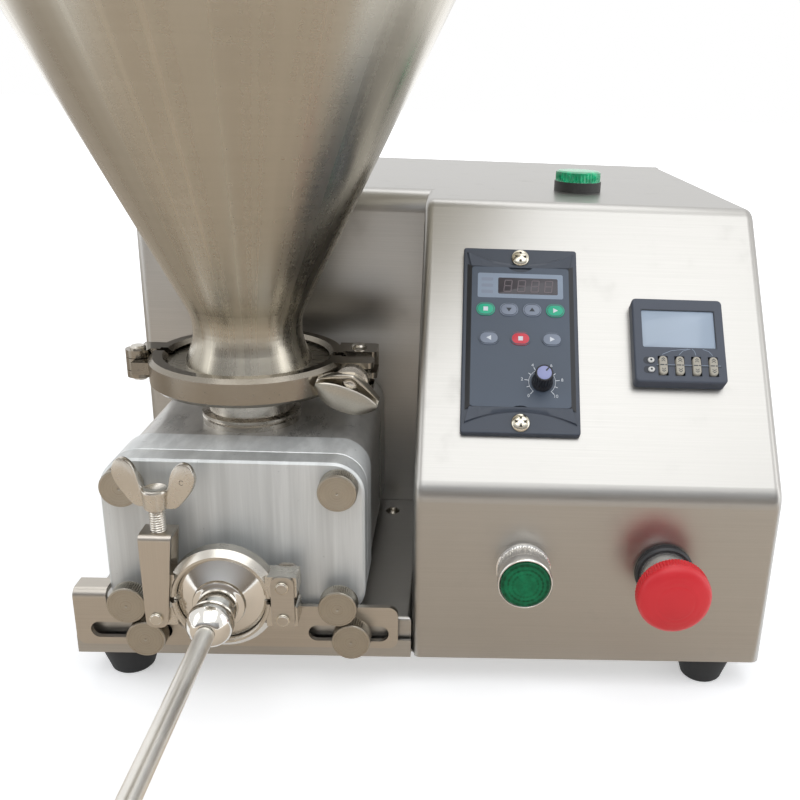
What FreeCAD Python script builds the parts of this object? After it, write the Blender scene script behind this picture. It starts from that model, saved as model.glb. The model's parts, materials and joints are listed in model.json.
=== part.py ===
"""Tabletop cream filling machine: a hopper-fed gear pump with a filling nozzle and a control console.

The machine is laid out with x to the right, y to the rear and z up, in millimetres. While it is
modelled, x = 0 is the console's left face, y = 0 its front face and z = 0 the surface it stands on.
"""
import FreeCAD, Part
import math
import os

V = FreeCAD.Vector
X_AXIS = V(1, 0, 0)
Y_AXIS = V(0, 1, 0)
Z_AXIS = V(0, 0, 1)
TO_FRONT = V(0, -1, 0)

# Fits between pieces
RUNNING = 0.05           # radial clearance of a shaft in its bore
SLIP = 0.15              # clearance all round a piece dropped into a cut-out
APART = 0.3              # gap between faces that must never rub
THREAD_PLAY = 0.04       # radial clearance of a screw in its hole

# Housing
FOOT_HEIGHT = 18.0
CONSOLE_WIDTH = 185.0
BAY_WIDTH = 174.0        # the recessed bay to the left of the console
HOUSING_DEPTH = 378.0
HOUSING_TOP = 241.0
KNEE_HEIGHT = 113.0      # where the console's slope starts
SLOPE_RUN = 110.0        # how far the slope leans back
WALL_SETBACK = 147.0     # the bay's rear wall behind the console's front
SHEET = 1.5
KNEE_BEND = 16.0
BROW_BEND = 11.0
WALL_BEND = 13.0
SIDE_BEND = 5.0
REAR_FLANGE = 12.0

# Base tray and the raised deck that carries the pump
TRAY_RIM = 10.0
TRAY_INSET = 2.5         # tray's left rim inside the housing's left side
DECK_HEIGHT = 39.6
DECK_FRONT = 3.0
DECK_SHEET = 2.0
DECK_SIDE_GAP = 0.4

# Feet
FOOT_TOP_RADIUS = 16.5
FOOT_BOTTOM_RADIUS = 11.0
FOOT_INSET_X = 23.5
FOOT_INSET_Y = 17.5
FOOT_SCREW_RADIUS = 4.5
FOOT_SCREW_DEPTH = 5.0

# Small domed screws
DOME_RADIUS = 4.4
DOME_HEIGHT = 2.4
DOME_SHANK_RADIUS = 2.0
DOME_SHANK_LENGTH = 6.0
DECK_SCREW_X = -18.7
DECK_SCREW_Y = 130.0
REAR_SCREW_INSET = 7.5

# Rear panel
VENT_COUNT = 8
VENT_PITCH = 11.0
VENT_LENGTH = 90.0
VENT_WIDTH = 4.0
VENT_X = -95.0
VENT_BOTTOM = 120.0
INLET_X = 120.0
INLET_Z = 70.0
INLET_WIDTH = 27.0
INLET_HEIGHT = 20.0
INLET_FLANGE_WIDTH = 50.0
INLET_FLANGE_HEIGHT = 24.0
INLET_FLANGE = 3.0
INLET_DEPTH = 18.0
INLET_WALL = 2.0
INLET_PIN_LENGTH = 12.0

# Pump: cover, chamber plate and bearing body, one behind the other
PUMP_X = -88.5
PUMP_WIDTH = 129.0
PUMP_HEIGHT = 86.0
PUMP_CORNER = 16.0
PUMP_EDGE = 1.2
COVER_THICKNESS = 12.5
CHAMBER_THICKNESS = 22.0
BODY_INSET = 1.5
PORT_X = -92.2           # the inlet and outlet share this upright plane

# Gears
GEAR_MODULE = 3.0
TEETH = 12
GEAR_AXIS_HEIGHT = 46.0  # above the deck
GEAR_SIDE_GAP = 0.08
TIP_CLEARANCE = 0.15
BACKLASH = 0.5
ADDENDUM = 0.85
DEDENDUM = 1.2
SHAFT_RADIUS = 7.0
IDLER_SHAFT_LENGTH = 30.0
DRIVE_SHAFT_REACH = 26.0  # how far the drive shaft passes the bay's wall
CORE_HOLE_RADIUS = 4.0

# Motor
COUPLING_RADIUS = 14.0
COUPLING_LENGTH = 36.0
COUPLING_START = 8.0     # behind the bay's wall
MOTOR_SHAFT_RADIUS = 6.0
MOTOR_SHAFT_LENGTH = 22.0
GEARBOX_SIDE = 90.0
GEARBOX_LENGTH = 44.0
MOTOR_RADIUS = 43.0
MOTOR_LENGTH = 96.0
MOTOR_BRACKET_PLATE = 5.0
MOTOR_BRACKET_FOOT = 60.0

# Thumbscrews that hold the cover and the retaining bracket
KNOB_RADIUS = 9.7
KNOB_THICKNESS = 8.5
KNOB_EDGE = 0.7
KNOB_SHANK_RADIUS = 3.0
COVER_KNOB_SPACING_X = 104.0
COVER_KNOB_TOP = 73.6    # above the deck
COVER_KNOB_BOTTOM = 12.9
COVER_KNOB_GRIP = 14.0   # how far a shank reaches into the chamber plate
BRACKET_KNOB_LEFT_X = -132.6
BRACKET_KNOB_RIGHT_X = -30.0
BRACKET_KNOB_Z = 33.6
BRACKET_KNOB_GRIP = 9.0

# Retaining bracket
BRACKET_THICKNESS = 2.8
BRACKET_GAP = 0.2
BRACKET_LEFT = -170.0
BRACKET_RIGHT = -6.8
BRACKET_BOTTOM = 25.1
BRACKET_TOP = 49.1
BRACKET_CORNER = 5.0
BRACKET_SLOT_LENGTH = 41.0
BRACKET_SLOT_HEIGHT = 9.0
BRACKET_LEFT_SLOT_X = -142.0
BRACKET_RIGHT_SLOT_X = -32.0
HOOK_WIDTH = 16.5
HOOK_TOP = 56.0
HOOK_BEND = 4.5
HOOK_DEPTH = 13.0

# Sanitary joint between the pump and the hopper
INLET_Y = 71.0
INLET_TUBE_RADIUS = 22.6
INLET_RING_RADIUS = 26.4
INLET_RING_HEIGHT = 2.1
INLET_RING_GROOVE = 0.8
BIG_JOINT_HEIGHT = 153.8
BIG_FERRULE_RADIUS = 45.5
BIG_FERRULE_LIP = 2.6
BIG_FERRULE_TAPER = 20.0  # degrees
BIG_GASKET = 2.0
BIG_BORE_RADIUS = 20.6

# Hopper
HOPPER_NECK_RADIUS = 28.6
HOPPER_FLARE_RADIUS = 33.6
HOPPER_NECK_HEIGHT = 182.0
HOPPER_CONE_SLOPE = 0.497  # radius gained per millimetre of height
HOPPER_BLEND = 26.0
HOPPER_FLARE_BEND = 20.0
HOPPER_MOUTH_BEND = 10.0
HOPPER_MOUTH_RADIUS = 150.0
HOPPER_COLLAR = 16.0
HOPPER_WALL = 1.5
HOPPER_RIM_RADIUS = 3.5

# Clamp round the hopper joint
BIG_CLAMP_RADIUS = 52.0
BIG_CLAMP_OPENING = 42.6
BIG_CLAMP_HEIGHT = 15.2
BIG_CLAMP_EDGE = 2.2
BIG_CLAMP_GROOVE_GAP = 0.35
BIG_CLAMP_SPLIT = 3.0    # half the gap between the two halves
HINGE_REACH = 59.5       # clamp axis to hinge pin
HINGE_PIN_RADIUS = 3.0
HINGE_LUG_RADIUS = 6.5
HINGE_TONGUE = 6.6
PIN_HEAD_RADIUS = 4.2
PIN_HEAD_HEIGHT = 1.8
LUG_REACH = 68.0         # clamp axis to the end of the bolt lugs
BOLT_REACH = 57.5        # clamp axis to the swing bolt
FRONT_LUG_FACE = 16.5    # clamp axis to the front lug's outer face
FRONT_LUG_THICKNESS = 12.0
FORK_FRONT = 5.0
FORK_DEPTH = 18.0
FORK_PIN_Y = 14.5
BOLT_RADIUS = 3.95
BOLT_EYE_RADIUS = 6.5
BOLT_EYE_THICKNESS = 8.0
BOLT_PIN_RADIUS = 3.0
BOLT_LENGTH = 48.0
SLOT_HALF_WIDTH = 4.5
NUT_SEAT = 0.1
HUB_RADIUS = 8.0
HUB_FACE_RADIUS = 6.2
HUB_LENGTH = 8.0
NUT_DEPTH = 20.5
WING_RADIUS = 18.4
WING_HEIGHT = 17.0
WING_WALL = 2.2
WING_CUP_DEPTH = 6.5
WING_TILT = 20.0

# Clamp round the outlet joint
OUTLET_HEIGHT = 60.0
SMALL_JOINT_Y = -11.1
SMALL_FERRULE_RADIUS = 23.6
SMALL_FERRULE_LIP = 2.0
SMALL_GASKET = 1.2
SMALL_CLAMP_RADIUS = 26.8
SMALL_CLAMP_OPENING = 21.8
SMALL_CLAMP_WIDTH = 12.0
SMALL_CLAMP_EDGE = 3.0
SMALL_CLAMP_LIP_EDGE = 0.8
SMALL_CLAMP_SPLIT = 1.6  # half the gap between the two halves
SMALL_GROOVE_GAP = 0.3
OUTLET_BORE_RADIUS = 8.0
PORT_RADIUS = 10.2
LINK_X = 30.2            # port axis to the link screws
LINK_HALF_PITCH = 8.9
LINK_LUG_RIGHT = 37.0
LINK_LUG_TOP = 13.6
LINK_HALF_WIDTH = 5.6
LINK_THICKNESS = 1.5
LINK_END = 14.4
LINK_GAP = 0.2
LINK_SCREW_RADIUS = 2.3
LINK_HEAD_RADIUS = 3.2
LINK_HEAD_HEIGHT = 1.6
YOKE_LUG_HALF = 5.4
YOKE_X = -29.0           # port axis to the yoke's centre line
YOKE_PIVOT_X = -31.2
YOKE_PIVOT_Z = -9.4
YOKE_SHEET = 2.0
YOKE_TOP = 35.2
YOKE_HALF_WIDTH = 7.8
YOKE_FOOT_RADIUS = 5.2
YOKE_GAP = 0.25
YOKE_BEND = 3.0
YOKE_PIN_RADIUS = 2.3
UPPER_LUG_TOP = 13.6
UPPER_LUG_BOTTOM = 6.5
LOWER_LUG_TOP = -4.6
LUG_LEFT = -36.2
STUD_RADIUS = 3.9
STUD_TIP_GAP = 0.15
STUD_HUB_START = 11.3    # above the yoke
STUD_HUB_HEIGHT = 10.5
STUD_HUB_RADIUS = 6.2
EAR_THICKNESS = 3.0
EAR_REACH = 21.0         # from the stud's axis
EAR_TOP = 25.0           # above the hub's foot
EAR_TIP = 17.0           # height of the ear's outermost point
EAR_TURN = -10.0

# Reducer, collar, nut and nozzle tube
CONE_BASE_RADIUS = 21.5
CONE_LENGTH = 9.5
COLLAR_RADIUS = 9.8
COLLAR_LENGTH = 12.5
NUT_RADIUS = 10.9
NUT_LENGTH = 13.0
NUT_DOME = 5.0
TUBE_RADIUS = 4.4
TUBE_WALL = 0.9
TUBE_LENGTH = 125.0      # in front of the nut
TUBE_STEP = 0.4          # how much thinner the tube's seated end is
TUBE_SHOULDER = 0.5      # from the nut to the tube's full size
BEVEL_LENGTH = 0.6

# Controls on the slope: distances across, and up the slope from the knee
TIMER_X = 135.1
TIMER_S = 82.7
TIMER_SIDE = 48.0
TIMER_OUT = 7.6
TIMER_CASE_SIDE = 44.6
TIMER_DEPTH = 62.0
TIMER_CORNER = 2.5
LCD_WIDTH = 38.5
LCD_HEIGHT = 21.5
LCD_Y = 6.4
LCD_RECESS = 1.0
ROCKER_COUNT = 4
ROCKER_FIRST_X = -9.3
ROCKER_PITCH = 8.7
ROCKER_Y = -14.8
ROCKER_WIDTH = 4.6
ROCKER_LENGTH = 10.4
ROCKER_PROUD = 1.4
ROCKER_DEPTH = 2.6
ROCKER_PIVOT_RADIUS = 0.6
KEY_POCKET_DEPTH = 3.6
MINI_BUTTON_X = -16.4
MINI_BUTTON_Y = (-12.0, -17.2)
MINI_BUTTON_WIDTH = 5.2
MINI_BUTTON_HEIGHT = 3.2
MINI_BUTTON_PROUD = 1.1
MINI_BUTTON_DEPTH = 2.6

CONTROLLER_X = 52.6
CONTROLLER_S = 83.0
CONTROLLER_WIDTH = 60.7
CONTROLLER_HEIGHT = 106.2
CONTROLLER_OUT = 4.0
CONTROLLER_CORNER = 1.5
CONTROLLER_CASE_WIDTH = 54.0
CONTROLLER_CASE_HEIGHT = 86.0
CONTROLLER_DEPTH = 70.0
CONTROLLER_SCREW_Y = 47.2
OVERLAY_WIDTH = 51.5
OVERLAY_HEIGHT = 80.0
OVERLAY_Y = 1.0
OVERLAY_OUT = 1.0
OVERLAY_SCOOP = 9.0
KEY_OUT = 0.5
TOP_KEY_Y = 15.7
TOP_KEY_PITCH = 12.2
TOP_KEY_LENGTH = 8.8
TOP_KEY_HEIGHT = 7.0
LOW_KEY_Y = -1.0
LOW_KEY_PITCH = 16.4
LOW_KEY_LENGTH = 10.6
DISPLAY_WIDTH = 32.0
DISPLAY_HEIGHT = 10.0
DISPLAY_X = 4.0
DISPLAY_Y = 29.9
DISPLAY_RECESS = 0.8
DIAL_X = 11.0
DIAL_Y = -25.0
DIAL_SKIRT_RADIUS = 6.2
DIAL_SKIRT_HEIGHT = 3.0
DIAL_RADIUS = 4.9
DIAL_HEIGHT = 12.0
DIAL_SPINDLE_RADIUS = 2.5

# Controls on the console's lower face
START_X = 56.2
START_Z = 72.2
BUTTON_HOLE_RADIUS = 11.0
START_RING_RADIUS = 14.5
START_COLLAR_RADIUS = 13.2
START_COLLAR_OUT = 10.0
START_OUT = 17.0
START_LENS_RADIUS = 11.6
START_LENS_PROUD = 1.2
START_TRAVEL = 3.5
START_BARREL_RADIUS = 10.7
START_BARREL_DEPTH = 42.0
START_STEM_RADIUS = 5.0
STOP_X = 127.9
STOP_Z = 71.7
STOP_BASE_RADIUS = 15.0
STOP_BASE_OUT = 4.0
STOP_COLLAR_RADIUS = 12.6
STOP_COLLAR_OUT = 13.5
STOP_HEAD_RADIUS = 19.6
STOP_HEAD_REAR = 19.5
STOP_HEAD_RIM = 8.5
STOP_HEAD_DOME = 3.2
STOP_STEM_RADIUS = 7.5

# Signal lamp on the housing's top
LAMP_X = 92.5
LAMP_Y = 176.5
LAMP_RADIUS = 14.5
LAMP_BASE_HEIGHT = 6.0
LAMP_LENS_HEIGHT = 6.4
LAMP_TAIL_RADIUS = 8.0
LAMP_TAIL_DEPTH = 22.0

# Derived places
SLOPE_TILT = math.degrees(math.atan2(HOUSING_TOP - KNEE_HEIGHT, SLOPE_RUN))
TRAY_TOP = FOOT_HEIGHT + SHEET
TRAY_LEFT = -BAY_WIDTH + TRAY_INSET
TRAY_REAR = HOUSING_DEPTH - SHEET - APART
COVER_FRONT = DECK_FRONT
CHAMBER_FRONT = COVER_FRONT + COVER_THICKNESS
CHAMBER_REAR = CHAMBER_FRONT + CHAMBER_THICKNESS
PUMP_TOP = DECK_HEIGHT + PUMP_HEIGHT
PITCH_RADIUS = GEAR_MODULE * TEETH / 2
TIP_RADIUS = PITCH_RADIUS + ADDENDUM * GEAR_MODULE
ROOT_RADIUS = PITCH_RADIUS - DEDENDUM * GEAR_MODULE
CENTRE_GAP = 0.1
GEAR_SPACING = 2 * PITCH_RADIUS + CENTRE_GAP
DRIVE_X = PORT_X + GEAR_SPACING / 2
IDLER_X = PORT_X - GEAR_SPACING / 2
GEAR_Z = DECK_HEIGHT + GEAR_AXIS_HEIGHT
CHAMBER_RADIUS = TIP_RADIUS + TIP_CLEARANCE
BRACKET_REAR = -BRACKET_GAP
BRACKET_FRONT = BRACKET_REAR - BRACKET_THICKNESS
MOTOR_FACE = WALL_SETBACK + COUPLING_START + COUPLING_LENGTH + MOTOR_BRACKET_PLATE
HOPPER_TOP = HOPPER_NECK_HEIGHT + (HOPPER_MOUTH_RADIUS - HOPPER_NECK_RADIUS) / HOPPER_CONE_SLOPE
RIM_CENTRE_RADIUS = HOPPER_MOUTH_RADIUS + HOPPER_RIM_RADIUS - HOPPER_WALL
NUT_REAR = SMALL_JOINT_Y - SMALL_GASKET / 2 - CONE_LENGTH - COLLAR_LENGTH
NUT_FRONT = NUT_REAR - NUT_LENGTH
NOZZLE_TIP = NUT_FRONT - TUBE_LENGTH

# The finished machine is moved so that its origin lies on the floor under the middle of its outline
LEFT_REACH = PORT_X - RIM_CENTRE_RADIUS - HOPPER_RIM_RADIUS
REAR_REACH = HOUSING_DEPTH + SHEET + DOME_HEIGHT
INLET_REACH = HOUSING_DEPTH + SHEET + INLET_FLANGE
ORIGIN_X = (LEFT_REACH + CONSOLE_WIDTH) / 2
ORIGIN_Y = (NOZZLE_TIP + max(REAR_REACH, INLET_REACH)) / 2


def box(x0, x1, y0, y1, z0, z1):
    """An upright block between two corners."""
    return Part.makeBox(x1 - x0, y1 - y0, z1 - z0, V(x0, y0, z0))


def rod(start, direction, radius, length):
    """A round bar from a point along a direction."""
    return Part.makeCylinder(radius, length, start, direction)


def corner_path(points, radii):
    """The edges through the points, each corner rounded by its radius, first and last left sharp."""
    starts = [points[0]]
    edges = []
    for before, corner, after, radius in zip(points, points[1:], points[2:], radii):
        inward = (before - corner).normalize()
        outward = (after - corner).normalize()
        half = inward.getAngle(outward) / 2
        reach = radius / math.tan(half)
        first = corner + inward * reach
        last = corner + outward * reach
        middle_direction = (inward + outward).normalize()
        middle = corner + middle_direction * (radius / math.sin(half) - radius)
        edges.append(Part.makeLine(starts[-1], first))
        edges.append(Part.Arc(first, middle, last).toShape())
        starts.append(last)
    edges.append(Part.makeLine(starts[-1], points[-1]))
    return edges


def rounded_face(points, radius):
    """A flat face whose outline passes the points with every corner rounded."""
    middle = (points[0] + points[-1]) * 0.5
    loop = [middle] + list(points) + [middle]
    return Part.Face(Part.Wire(corner_path(loop, [radius] * len(points))))


def rounded_plate(width, height, radius, thickness):
    """A plate centred on the origin in x and y, from z = 0 to its thickness."""
    half_w = width / 2
    half_h = height / 2
    corners = [V(-half_w, -half_h, 0), V(half_w, -half_h, 0), V(half_w, half_h, 0), V(-half_w, half_h, 0)]
    return rounded_face(corners, radius).extrude(V(0, 0, thickness))


def pill(length, width, thickness):
    """A plate with round ends, long in x, centred on the origin, from z = 0 to its thickness."""
    half = (length - width) / 2
    bar = Part.makeBox(2 * half, width, thickness, V(-half, -width / 2, 0))
    ends = [Part.makeCylinder(width / 2, thickness, V(side * half, 0, 0)) for side in (-1, 1)]
    return join([bar] + ends)


def turned(profile, base, axis=Z_AXIS):
    """A solid of revolution: the profile's points are (radius, distance along the axis)."""
    points = [V(radius, 0, along) for radius, along in profile]
    solid = Part.Face(Part.makePolygon(points + points[:1])).revolve(V(0, 0, 0), Z_AXIS, 360)
    solid.Placement = FreeCAD.Placement(base, FreeCAD.Rotation(Z_AXIS, axis))
    return solid


def join(shapes):
    """The union of the shapes, with the seams between flush faces removed."""
    return shapes[0].fuse(shapes[1:]).removeSplitter()


def facing(shape, origin, tilt):
    """Stand a piece modelled along z on a face that leans by the tilt, at the origin."""
    placed = shape.copy()
    placed.Placement = FreeCAD.Placement(origin, FreeCAD.Rotation(X_AXIS, tilt)).multiply(placed.Placement)
    return placed


def slope_point(across, up, out=0.0):
    """A point on the console's slope, measured up from the knee and out from the surface."""
    angle = math.radians(SLOPE_TILT)
    y = up * math.cos(angle) - out * math.sin(angle)
    z = KNEE_HEIGHT + up * math.sin(angle) + out * math.cos(angle)
    return V(across, y, z)


def on_slope(shape, across, up):
    """Place a piece modelled along z on the console's slope."""
    return facing(shape, slope_point(across, up), SLOPE_TILT)


def on_front(shape, x, z):
    """Place a piece modelled along z on the console's upright front face."""
    return facing(shape, V(x, 0, z), 90)


def edges_in_plane(shape, axis, value):
    """The shape's edges that lie in the plane where the axis has the value."""
    low = axis + "Min"
    high = axis + "Max"
    near = 1e-4
    return [edge for edge in shape.Edges
            if abs(getattr(edge.BoundBox, low) - value) < near and abs(getattr(edge.BoundBox, high) - value) < near]


def bent_block(path, bends, x0, x1, edge_radius, floor, rear):
    """A closed block under a bent panel: the path runs up the front and over the top, seen from the side."""
    points = [V(x0, y, z) for y, z in path]
    edges = corner_path(points, bends)
    edges.append(Part.makeLine(points[-1], V(x0, rear, floor)))
    edges.append(Part.makeLine(V(x0, rear, floor), points[0]))
    block = Part.Face(Part.Wire(edges)).extrude(V(x1 - x0, 0, 0))
    rounded = []
    for x in (x0, x1):
        for edge in edges_in_plane(block, "X", x):
            bounds = edge.BoundBox
            on_floor = bounds.ZMax - floor < 1e-4
            on_rear = rear - bounds.YMin < 1e-4
            if not on_floor and not on_rear:
                rounded.append(edge)
    return block.makeFillet(edge_radius, rounded)


def inset_path(path, inset):
    """The same open path moved inwards by the sheet's thickness, its ends left on their own lines."""
    lines = []
    for (y0, z0), (y1, z1) in zip(path, path[1:]):
        length = math.hypot(y1 - y0, z1 - z0)
        normal = ((z1 - z0) / length, -(y1 - y0) / length)
        lines.append((y0 + inset * normal[0], z0 + inset * normal[1], y1 - y0, z1 - z0))
    result = [(lines[0][0], lines[0][1])]
    for (ya, za, dya, dza), (yb, zb, dyb, dzb) in zip(lines, lines[1:]):
        cross = dya * dzb - dza * dyb
        step = ((yb - ya) * dzb - (zb - za) * dyb) / cross
        result.append((ya + step * dya, za + step * dza))
    last = lines[-1]
    result.append((last[0] + last[2], last[1] + last[3]))
    return result


def housing_form(inset, floor, rear):
    """The housing's closed outer form, or its inside when an inset is given."""
    console = [(0, floor), (0, KNEE_HEIGHT), (SLOPE_RUN, HOUSING_TOP), (rear, HOUSING_TOP)]
    wall = [(WALL_SETBACK, floor), (WALL_SETBACK, HOUSING_TOP), (rear, HOUSING_TOP)]
    edge = SIDE_BEND - inset
    right = CONSOLE_WIDTH - inset
    front_block = bent_block(inset_path(console, inset), [KNEE_BEND - inset, BROW_BEND - inset],
                             inset, right, edge, floor, rear)
    rear_block = bent_block(inset_path(wall, inset), [WALL_BEND - inset],
                            -BAY_WIDTH + inset, right, edge, floor, rear)
    return join([front_block, rear_block])


def rear_screw_places():
    """Where the rear panel's screws go, as (x, z)."""
    left = -BAY_WIDTH + REAR_SCREW_INSET
    right = CONSOLE_WIDTH - REAR_SCREW_INSET
    top = HOUSING_TOP - REAR_SCREW_INSET
    low = FOOT_HEIGHT + TRAY_RIM + REAR_SCREW_INSET
    middle = (left + right) / 2
    side = (top + low) / 2
    return [(left, low), (left, side), (left, top), (middle, top), (right, top), (right, side), (right, low)]


def make_housing_shell():
    """The folded and welded housing, open below and behind, with the cut-outs for what it carries."""
    outer = housing_form(0, FOOT_HEIGHT, HOUSING_DEPTH)
    inner = housing_form(SHEET, FOOT_HEIGHT - SHEET, HOUSING_DEPTH - SHEET)
    inner_low = box(-BAY_WIDTH + SHEET + REAR_FLANGE, CONSOLE_WIDTH - SHEET - REAR_FLANGE,
                    HOUSING_DEPTH - 2 * SHEET, HOUSING_DEPTH + SHEET,
                    FOOT_HEIGHT - SHEET, HOUSING_TOP - SHEET - REAR_FLANGE)
    wall_corner = WALL_SETBACK + SIDE_BEND + APART
    under_bay = box(-BAY_WIDTH - SHEET, SHEET, SHEET, wall_corner, FOOT_HEIGHT - SHEET, TRAY_TOP)
    side_skirt = box(-BAY_WIDTH, -BAY_WIDTH + SHEET, WALL_SETBACK, wall_corner, FOOT_HEIGHT - SHEET, TRAY_TOP)
    holes = [inner, inner_low, under_bay.cut(side_skirt)]
    holes.append(on_slope(rounded_plate(TIMER_CASE_SIDE + 2 * SLIP, TIMER_CASE_SIDE + 2 * SLIP, TIMER_CORNER,
                                        -3 * SHEET), TIMER_X, TIMER_S))
    holes.append(on_slope(rounded_plate(CONTROLLER_CASE_WIDTH + 2 * SLIP, CONTROLLER_CASE_HEIGHT + 2 * SLIP,
                                        CONTROLLER_CORNER, -3 * SHEET), CONTROLLER_X, CONTROLLER_S))
    for side in (-1, 1):
        point = slope_point(CONTROLLER_X, CONTROLLER_S + side * CONTROLLER_SCREW_Y, SHEET)
        holes.append(rod(point, slope_point(0, 0) - slope_point(0, 0, 1), DOME_SHANK_RADIUS + THREAD_PLAY, 4 * SHEET))
    for x, z in ((START_X, START_Z), (STOP_X, STOP_Z)):
        holes.append(rod(V(x, -SHEET, z), Y_AXIS, BUTTON_HOLE_RADIUS, 3 * SHEET))
    holes.append(rod(V(LAMP_X, LAMP_Y, HOUSING_TOP + SHEET), -Z_AXIS, LAMP_TAIL_RADIUS + SLIP, 3 * SHEET))
    holes.append(rod(V(DRIVE_X, WALL_SETBACK - SHEET, GEAR_Z), Y_AXIS, COUPLING_RADIUS, 3 * SHEET))
    for x, z in rear_screw_places():
        holes.append(rod(V(x, HOUSING_DEPTH - 2 * SHEET, z), Y_AXIS, DOME_SHANK_RADIUS + THREAD_PLAY, 3 * SHEET))
    return outer.cut(holes)


def make_base_tray():
    """The L-shaped pan under the whole machine, its front and left rims open to view in the bay."""
    rim_top = FOOT_HEIGHT + TRAY_RIM
    right = CONSOLE_WIDTH - SHEET - APART
    console_front = SHEET + APART

    def outline(inset, bottom):
        bay = box(TRAY_LEFT + inset, -APART + inset, inset, WALL_SETBACK + inset, bottom, rim_top)
        main = box(TRAY_LEFT + inset, right - inset, console_front + inset, TRAY_REAR - inset, bottom, rim_top)
        return join([bay, main])

    wall_room = box(-APART, SIDE_BEND, 0, WALL_SETBACK + SHEET + APART, TRAY_TOP, rim_top + SHEET)
    rear_room = box(-BAY_WIDTH, SHEET + APART, WALL_SETBACK - APART, WALL_SETBACK + SIDE_BEND + APART,
                    TRAY_TOP, rim_top + SHEET)
    pan = outline(0, FOOT_HEIGHT)
    corners = [edge for edge in pan.Edges
               if edge.BoundBox.ZLength > TRAY_RIM / 2 and edge.BoundBox.XMin > right - SHEET]
    pan = pan.makeFillet(SIDE_BEND, corners)
    corner_room = box(-APART, SIDE_BEND, 0, SIDE_BEND, FOOT_HEIGHT - SHEET, rim_top + SHEET)
    tray = pan.cut([outline(SHEET, TRAY_TOP), wall_room, rear_room, corner_room])
    holes = [rod(V(x, y, FOOT_HEIGHT - SHEET), Z_AXIS, FOOT_SCREW_RADIUS + THREAD_PLAY, 3 * SHEET)
             for x, y in foot_places()]
    return tray.cut(holes)


def foot_places():
    """The four feet's centres, as (x, y)."""
    left = TRAY_LEFT + FOOT_INSET_X - TRAY_INSET
    right = CONSOLE_WIDTH - FOOT_INSET_X - TRAY_INSET
    front = FOOT_INSET_Y
    rear = HOUSING_DEPTH - FOOT_INSET_Y
    return [(left, front), (right, front), (left, rear), (right, rear)]


def make_rubber_feet():
    """Four tapered rubber feet, wider at the top, each with the screw that holds it to the tray."""
    edge = 1.0
    profile = [(0, 0), (FOOT_BOTTOM_RADIUS - edge, 0), (FOOT_BOTTOM_RADIUS, edge), (FOOT_TOP_RADIUS, FOOT_HEIGHT),
               (FOOT_SCREW_RADIUS, FOOT_HEIGHT), (FOOT_SCREW_RADIUS, FOOT_HEIGHT + FOOT_SCREW_DEPTH),
               (0, FOOT_HEIGHT + FOOT_SCREW_DEPTH)]
    return Part.makeCompound([turned(profile, V(x, y, 0)) for x, y in foot_places()])


def make_bay_deck():
    """The raised inverted pan that the pump stands on."""
    left = TRAY_LEFT + SHEET + DECK_SIDE_GAP
    right = -DECK_SIDE_GAP
    rear = WALL_SETBACK - DECK_SIDE_GAP
    outer = box(left, right, DECK_FRONT, rear, TRAY_TOP, DECK_HEIGHT)
    bend = DECK_SHEET
    ridge = [edge for edge in edges_in_plane(outer, "Z", DECK_HEIGHT) if edge.BoundBox.YMin < rear - bend]
    outer = outer.makeFillet(bend, ridge)
    inner = box(left + DECK_SHEET, right - DECK_SHEET, DECK_FRONT + DECK_SHEET, rear - DECK_SHEET,
                TRAY_TOP - SHEET, DECK_HEIGHT - DECK_SHEET)
    holes = [rod(V(x, DECK_SCREW_Y, DECK_HEIGHT - 2 * DECK_SHEET), Z_AXIS, DOME_SHANK_RADIUS + THREAD_PLAY,
                 3 * DECK_SHEET) for x in deck_screw_columns()]
    for x in (BRACKET_KNOB_LEFT_X, BRACKET_KNOB_RIGHT_X):
        holes.append(rod(V(x, DECK_FRONT - DECK_SHEET, BRACKET_KNOB_Z), Y_AXIS, KNOB_SHANK_RADIUS + THREAD_PLAY,
                         3 * DECK_SHEET))
    return outer.cut([inner] + holes)


def deck_screw_columns():
    """The deck's two screws, one on each side of the pump's body."""
    gap_middle = (TRAY_LEFT + SHEET + DECK_SIDE_GAP + PUMP_X - PUMP_WIDTH / 2 + BODY_INSET) / 2
    return (DECK_SCREW_X, gap_middle)


def domed_screw(shank_length):
    """A small screw with a domed head, its head's underside at z = 0 and its shank below."""
    bulge = (DOME_RADIUS ** 2 + DOME_HEIGHT ** 2) / (2 * DOME_HEIGHT)
    ball = Part.makeSphere(bulge, V(0, 0, DOME_HEIGHT - bulge))
    head = ball.common(Part.makeCylinder(DOME_RADIUS, DOME_HEIGHT))
    return join([head, Part.makeCylinder(DOME_SHANK_RADIUS, shank_length, V(0, 0, -shank_length))])


def make_housing_screws():
    """The domed screws of the deck and of the rear panel."""
    screws = []
    for x in deck_screw_columns():
        screw = domed_screw(DOME_SHANK_LENGTH)
        screw.translate(V(x, DECK_SCREW_Y, DECK_HEIGHT))
        screws.append(screw)
    for x, z in rear_screw_places():
        screws.append(facing(domed_screw(DOME_SHANK_LENGTH), V(x, HOUSING_DEPTH + SHEET, z), -90))
    return Part.makeCompound(screws)


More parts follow.
